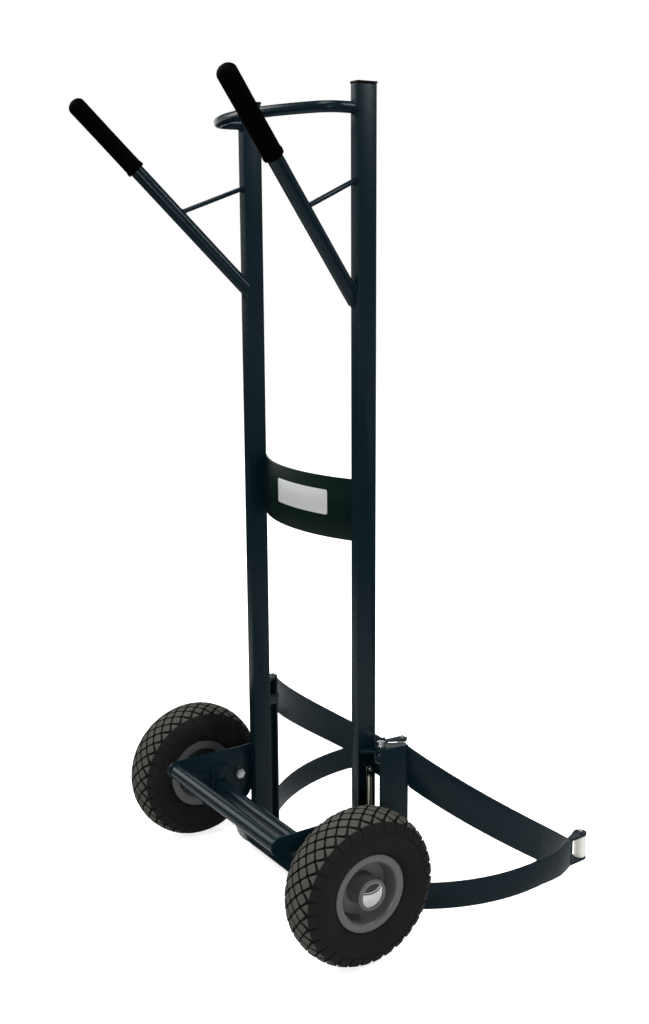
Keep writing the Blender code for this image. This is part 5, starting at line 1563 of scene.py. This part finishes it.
class TROLLEY_OT_stage(bpy.types.Operator):
    """Set the floor, the soft lights, the world and the camera."""

    bl_idname = "trolley.stage"
    bl_label = "Studio"

    def execute(self, context):
        self.floor()
        self.lights()
        self.world()
        self.camera()
        view = context.scene.view_settings
        view.view_transform = "Standard"
        return {"FINISHED"}

    def floor(self):
        radius = settings().stage.floor_radius
        deselect()
        bpy.ops.mesh.primitive_circle_add(vertices=96, radius=radius, fill_type="NGON", location=(0, 0, -0.0002))
        floor = bpy.context.active_object
        floor.name = "studio_floor"
        edit(floor)
        bpy.ops.mesh.select_all(action="SELECT")
        bpy.ops.mesh.inset(thickness=radius * 0.5)
        bpy.ops.object.mode_set(mode="OBJECT")
        bpy.ops.object.transform_apply(location=True)
        material = bpy.data.materials.new("painted_studio_floor")
        material.use_nodes = True
        tree = material.node_tree
        shader = tree.nodes["Principled BSDF"]
        shader.inputs["Base Color"].default_value = rgba(settings().colours.floor)
        shader.inputs["Roughness"].default_value = 0.9
        shader.inputs["Specular IOR Level"].default_value = 0.1
        # The camera sees the floor lifted to white, with the trolley's shadow on it. Paint and metal mirror only the
        # lit part near the trolley, and a dark room beyond it.
        seen = add(tree, "ShaderNodeLightPath")
        glow = add(tree, "ShaderNodeEmission", values={"Strength": 0.77})
        soft_glow = add(tree, "ShaderNodeEmission", values={"Strength": 0.07})
        dark = add(tree, "ShaderNodeEmission", values={"Strength": 0.0})
        lifted = add(tree, "ShaderNodeAddShader", links={0: shader.outputs[0], 1: glow.outputs[0]})
        lit = add(tree, "ShaderNodeAddShader", links={0: shader.outputs[0], 1: soft_glow.outputs[0]})
        place = add(tree, "ShaderNodeTexCoord").outputs["Object"]
        distance = add(tree, "ShaderNodeVectorMath", {"operation": "LENGTH"}, links={0: place})
        far = add(
            tree,
            "ShaderNodeMapRange",
            {"interpolation_type": "SMOOTHSTEP"},
            {"From Min": 0.8, "From Max": 2.0, "To Min": 0.24, "To Max": 1.0},
            {"Value": distance.outputs["Value"]},
        )
        mirrored = add(
            tree, "ShaderNodeMixShader", links={0: far.outputs["Result"], 1: lit.outputs[0], 2: dark.outputs[0]}
        )
        other = add(
            tree,
            "ShaderNodeMixShader",
            links={0: seen.outputs["Is Glossy Ray"], 1: shader.outputs[0], 2: mirrored.outputs[0]},
        )
        both = add(
            tree,
            "ShaderNodeMixShader",
            links={0: seen.outputs["Is Camera Ray"], 1: other.outputs[0], 2: lifted.outputs[0]},
        )
        tree.links.new(both.outputs[0], tree.nodes["Material Output"].inputs["Surface"])
        floor.data.materials.append(material)

    def lights(self):
        stage = settings().stage
        lamps = (
            ("soft_light_above", (0.5, -1.2, 4.6), (0, 0, 0.4), (1.8, 2.6), stage.key_light * 1.9),
            ("strip_light_right", (2.2, 1.7, 3.1), (0, 0, 0.6), (0.5, 1.6), stage.side_light * 1.4),
            ("strip_light_back", (-2.3, 1.55, 1.55), (0, 0, 0.4), (2.8, 0.7), stage.side_light * 0.25),
            ("wide_light_left", (-5.0, -2.4, 4.0), (0, 0, 0.3), (3.2, 4.2), stage.side_light * 6.0),
            ("front_light", (2.4, -1.6, 0.9), (0, 0, 0.3), (0.5, 0.5), stage.side_light * 0.45),
        )
        for name, place, target, (wide, tall), power in lamps:
            deselect()
            bpy.ops.object.light_add(type="AREA", location=place)
            lamp = bpy.context.active_object
            lamp.name = name
            lamp.data.shape = "RECTANGLE"
            lamp.data.size = wide
            lamp.data.size_y = tall
            lamp.data.energy = power
            lamp.rotation_euler = (Vector(target) - Vector(place)).to_track_quat("-Z", "Y").to_euler()
            lamp.visible_camera = False

    def world(self):
        world = bpy.data.worlds.new("studio_world")
        bpy.context.scene.world = world
        world.use_nodes = True
        tree = world.node_tree
        seen = add(tree, "ShaderNodeLightPath")
        either = add(
            tree,
            "ShaderNodeMath",
            {"operation": "MAXIMUM"},
            links={0: seen.outputs["Is Camera Ray"], 1: seen.outputs["Is Transmission Ray"]},
        )
        both = add(
            tree,
            "ShaderNodeMath",
            {"operation": "MAXIMUM"},
            links={0: either.outputs[0], 1: seen.outputs["Is Glossy Ray"]},
        )
        light = add(tree, "ShaderNodeBackground", values={"Strength": settings().stage.world_light})
        light.inputs["Color"].default_value = (1, 1, 1, 1)
        white = add(tree, "ShaderNodeBackground", values={"Strength": 1.0})
        # The backdrop is white up to about 20 degrees above the floor, and the ceiling that metal mirrors is dark.
        way = add(tree, "ShaderNodeSeparateXYZ", links={0: add(tree, "ShaderNodeTexCoord").outputs["Generated"]})
        ceiling = add(
            tree,
            "ShaderNodeMapRange",
            {"interpolation_type": "SMOOTHSTEP"},
            {"From Min": 0.00, "From Max": 0.10, "To Min": 0.0, "To Max": 1.0},
            {"Value": way.outputs["Z"]},
        )
        overhead = add(
            tree,
            "ShaderNodeMath",
            {"operation": "MULTIPLY"},
            links={0: ceiling.outputs["Result"], 1: seen.outputs["Is Glossy Ray"]},
        )
        tone = two_tone(tree, overhead.outputs[0], (1, 1, 1), (0.07, 0.072, 0.075))
        tree.links.new(tone, white.inputs["Color"])
        mix = add(
            tree,
            "ShaderNodeMixShader",
            links={0: both.outputs[0], 1: light.outputs[0], 2: white.outputs[0]},
        )
        tree.links.new(mix.outputs[0], tree.nodes["World Output"].inputs["Surface"])

    def camera(self):
        place = Vector((1.8096, -1.2171 - 0.00013, 1.1428))
        yaw, pitch, roll = -0.98923, 0.21167, 0.006118
        ahead = Vector((math.sin(yaw) * math.cos(pitch), math.cos(yaw) * math.cos(pitch), -math.sin(pitch)))
        right = Vector((math.cos(yaw), -math.sin(yaw), 0))
        down = ahead.cross(right)
        rolled_right = right * math.cos(roll) + down * math.sin(roll)
        rolled_down = down * math.cos(roll) - right * math.sin(roll)
        turn = Matrix((rolled_right, -rolled_down, -ahead)).transposed()
        bpy.ops.object.camera_add(location=place, rotation=turn.to_euler())
        camera = bpy.context.active_object
        camera.name = "camera"
        camera.data.lens = 44.665
        camera.data.sensor_width = 36
        camera.data.clip_end = 100
        bpy.context.scene.camera = camera


class TROLLEY_PT_panel(bpy.types.Panel):
    """Lists the trolley's settings and the operators that model its pieces."""

    bl_idname = "TROLLEY_PT_panel"
    bl_label = "Tyre trolley"
    bl_space_type = "VIEW_3D"
    bl_region_type = "UI"
    bl_category = "Trolley"

    def draw(self, context):
        values = context.scene.tyre_trolley
        for group in (values.tyre, values.steel, values.colours, values.stage):
            box = self.layout.box()
            box.label(text=group.bl_rna.description)
            for name in group.__annotations__:
                box.prop(group, name)
        for operator in OPERATORS:
            self.layout.operator(operator.bl_idname)


OPERATORS = (
    TROLLEY_OT_finish_nodes,
    TROLLEY_OT_steel_sheet,
    TROLLEY_OT_tubes,
    TROLLEY_OT_grips,
    TROLLEY_OT_tyres,
    TROLLEY_OT_rims,
    TROLLEY_OT_axle_ends,
    TROLLEY_OT_springs,
    TROLLEY_OT_fasteners,
    TROLLEY_OT_welds,
    TROLLEY_OT_label_plate,
    TROLLEY_OT_stage,
)
CLASSES = (
    TyreSettings,
    SteelSettings,
    ColourSettings,
    StageSettings,
    TrolleySettings,
    *OPERATORS,
    TROLLEY_PT_panel,
)


def register():
    for each in CLASSES:
        bpy.utils.register_class(each)
    bpy.types.Scene.tyre_trolley = PointerProperty(type=TrolleySettings)


def unregister():
    del bpy.types.Scene.tyre_trolley
    for each in reversed(CLASSES):
        bpy.utils.unregister_class(each)


def main():
    register()
    for operator in OPERATORS:
        group, name = operator.bl_idname.split(".")
        getattr(getattr(bpy.ops, group), name)()


if __name__ == "__main__":
    main()
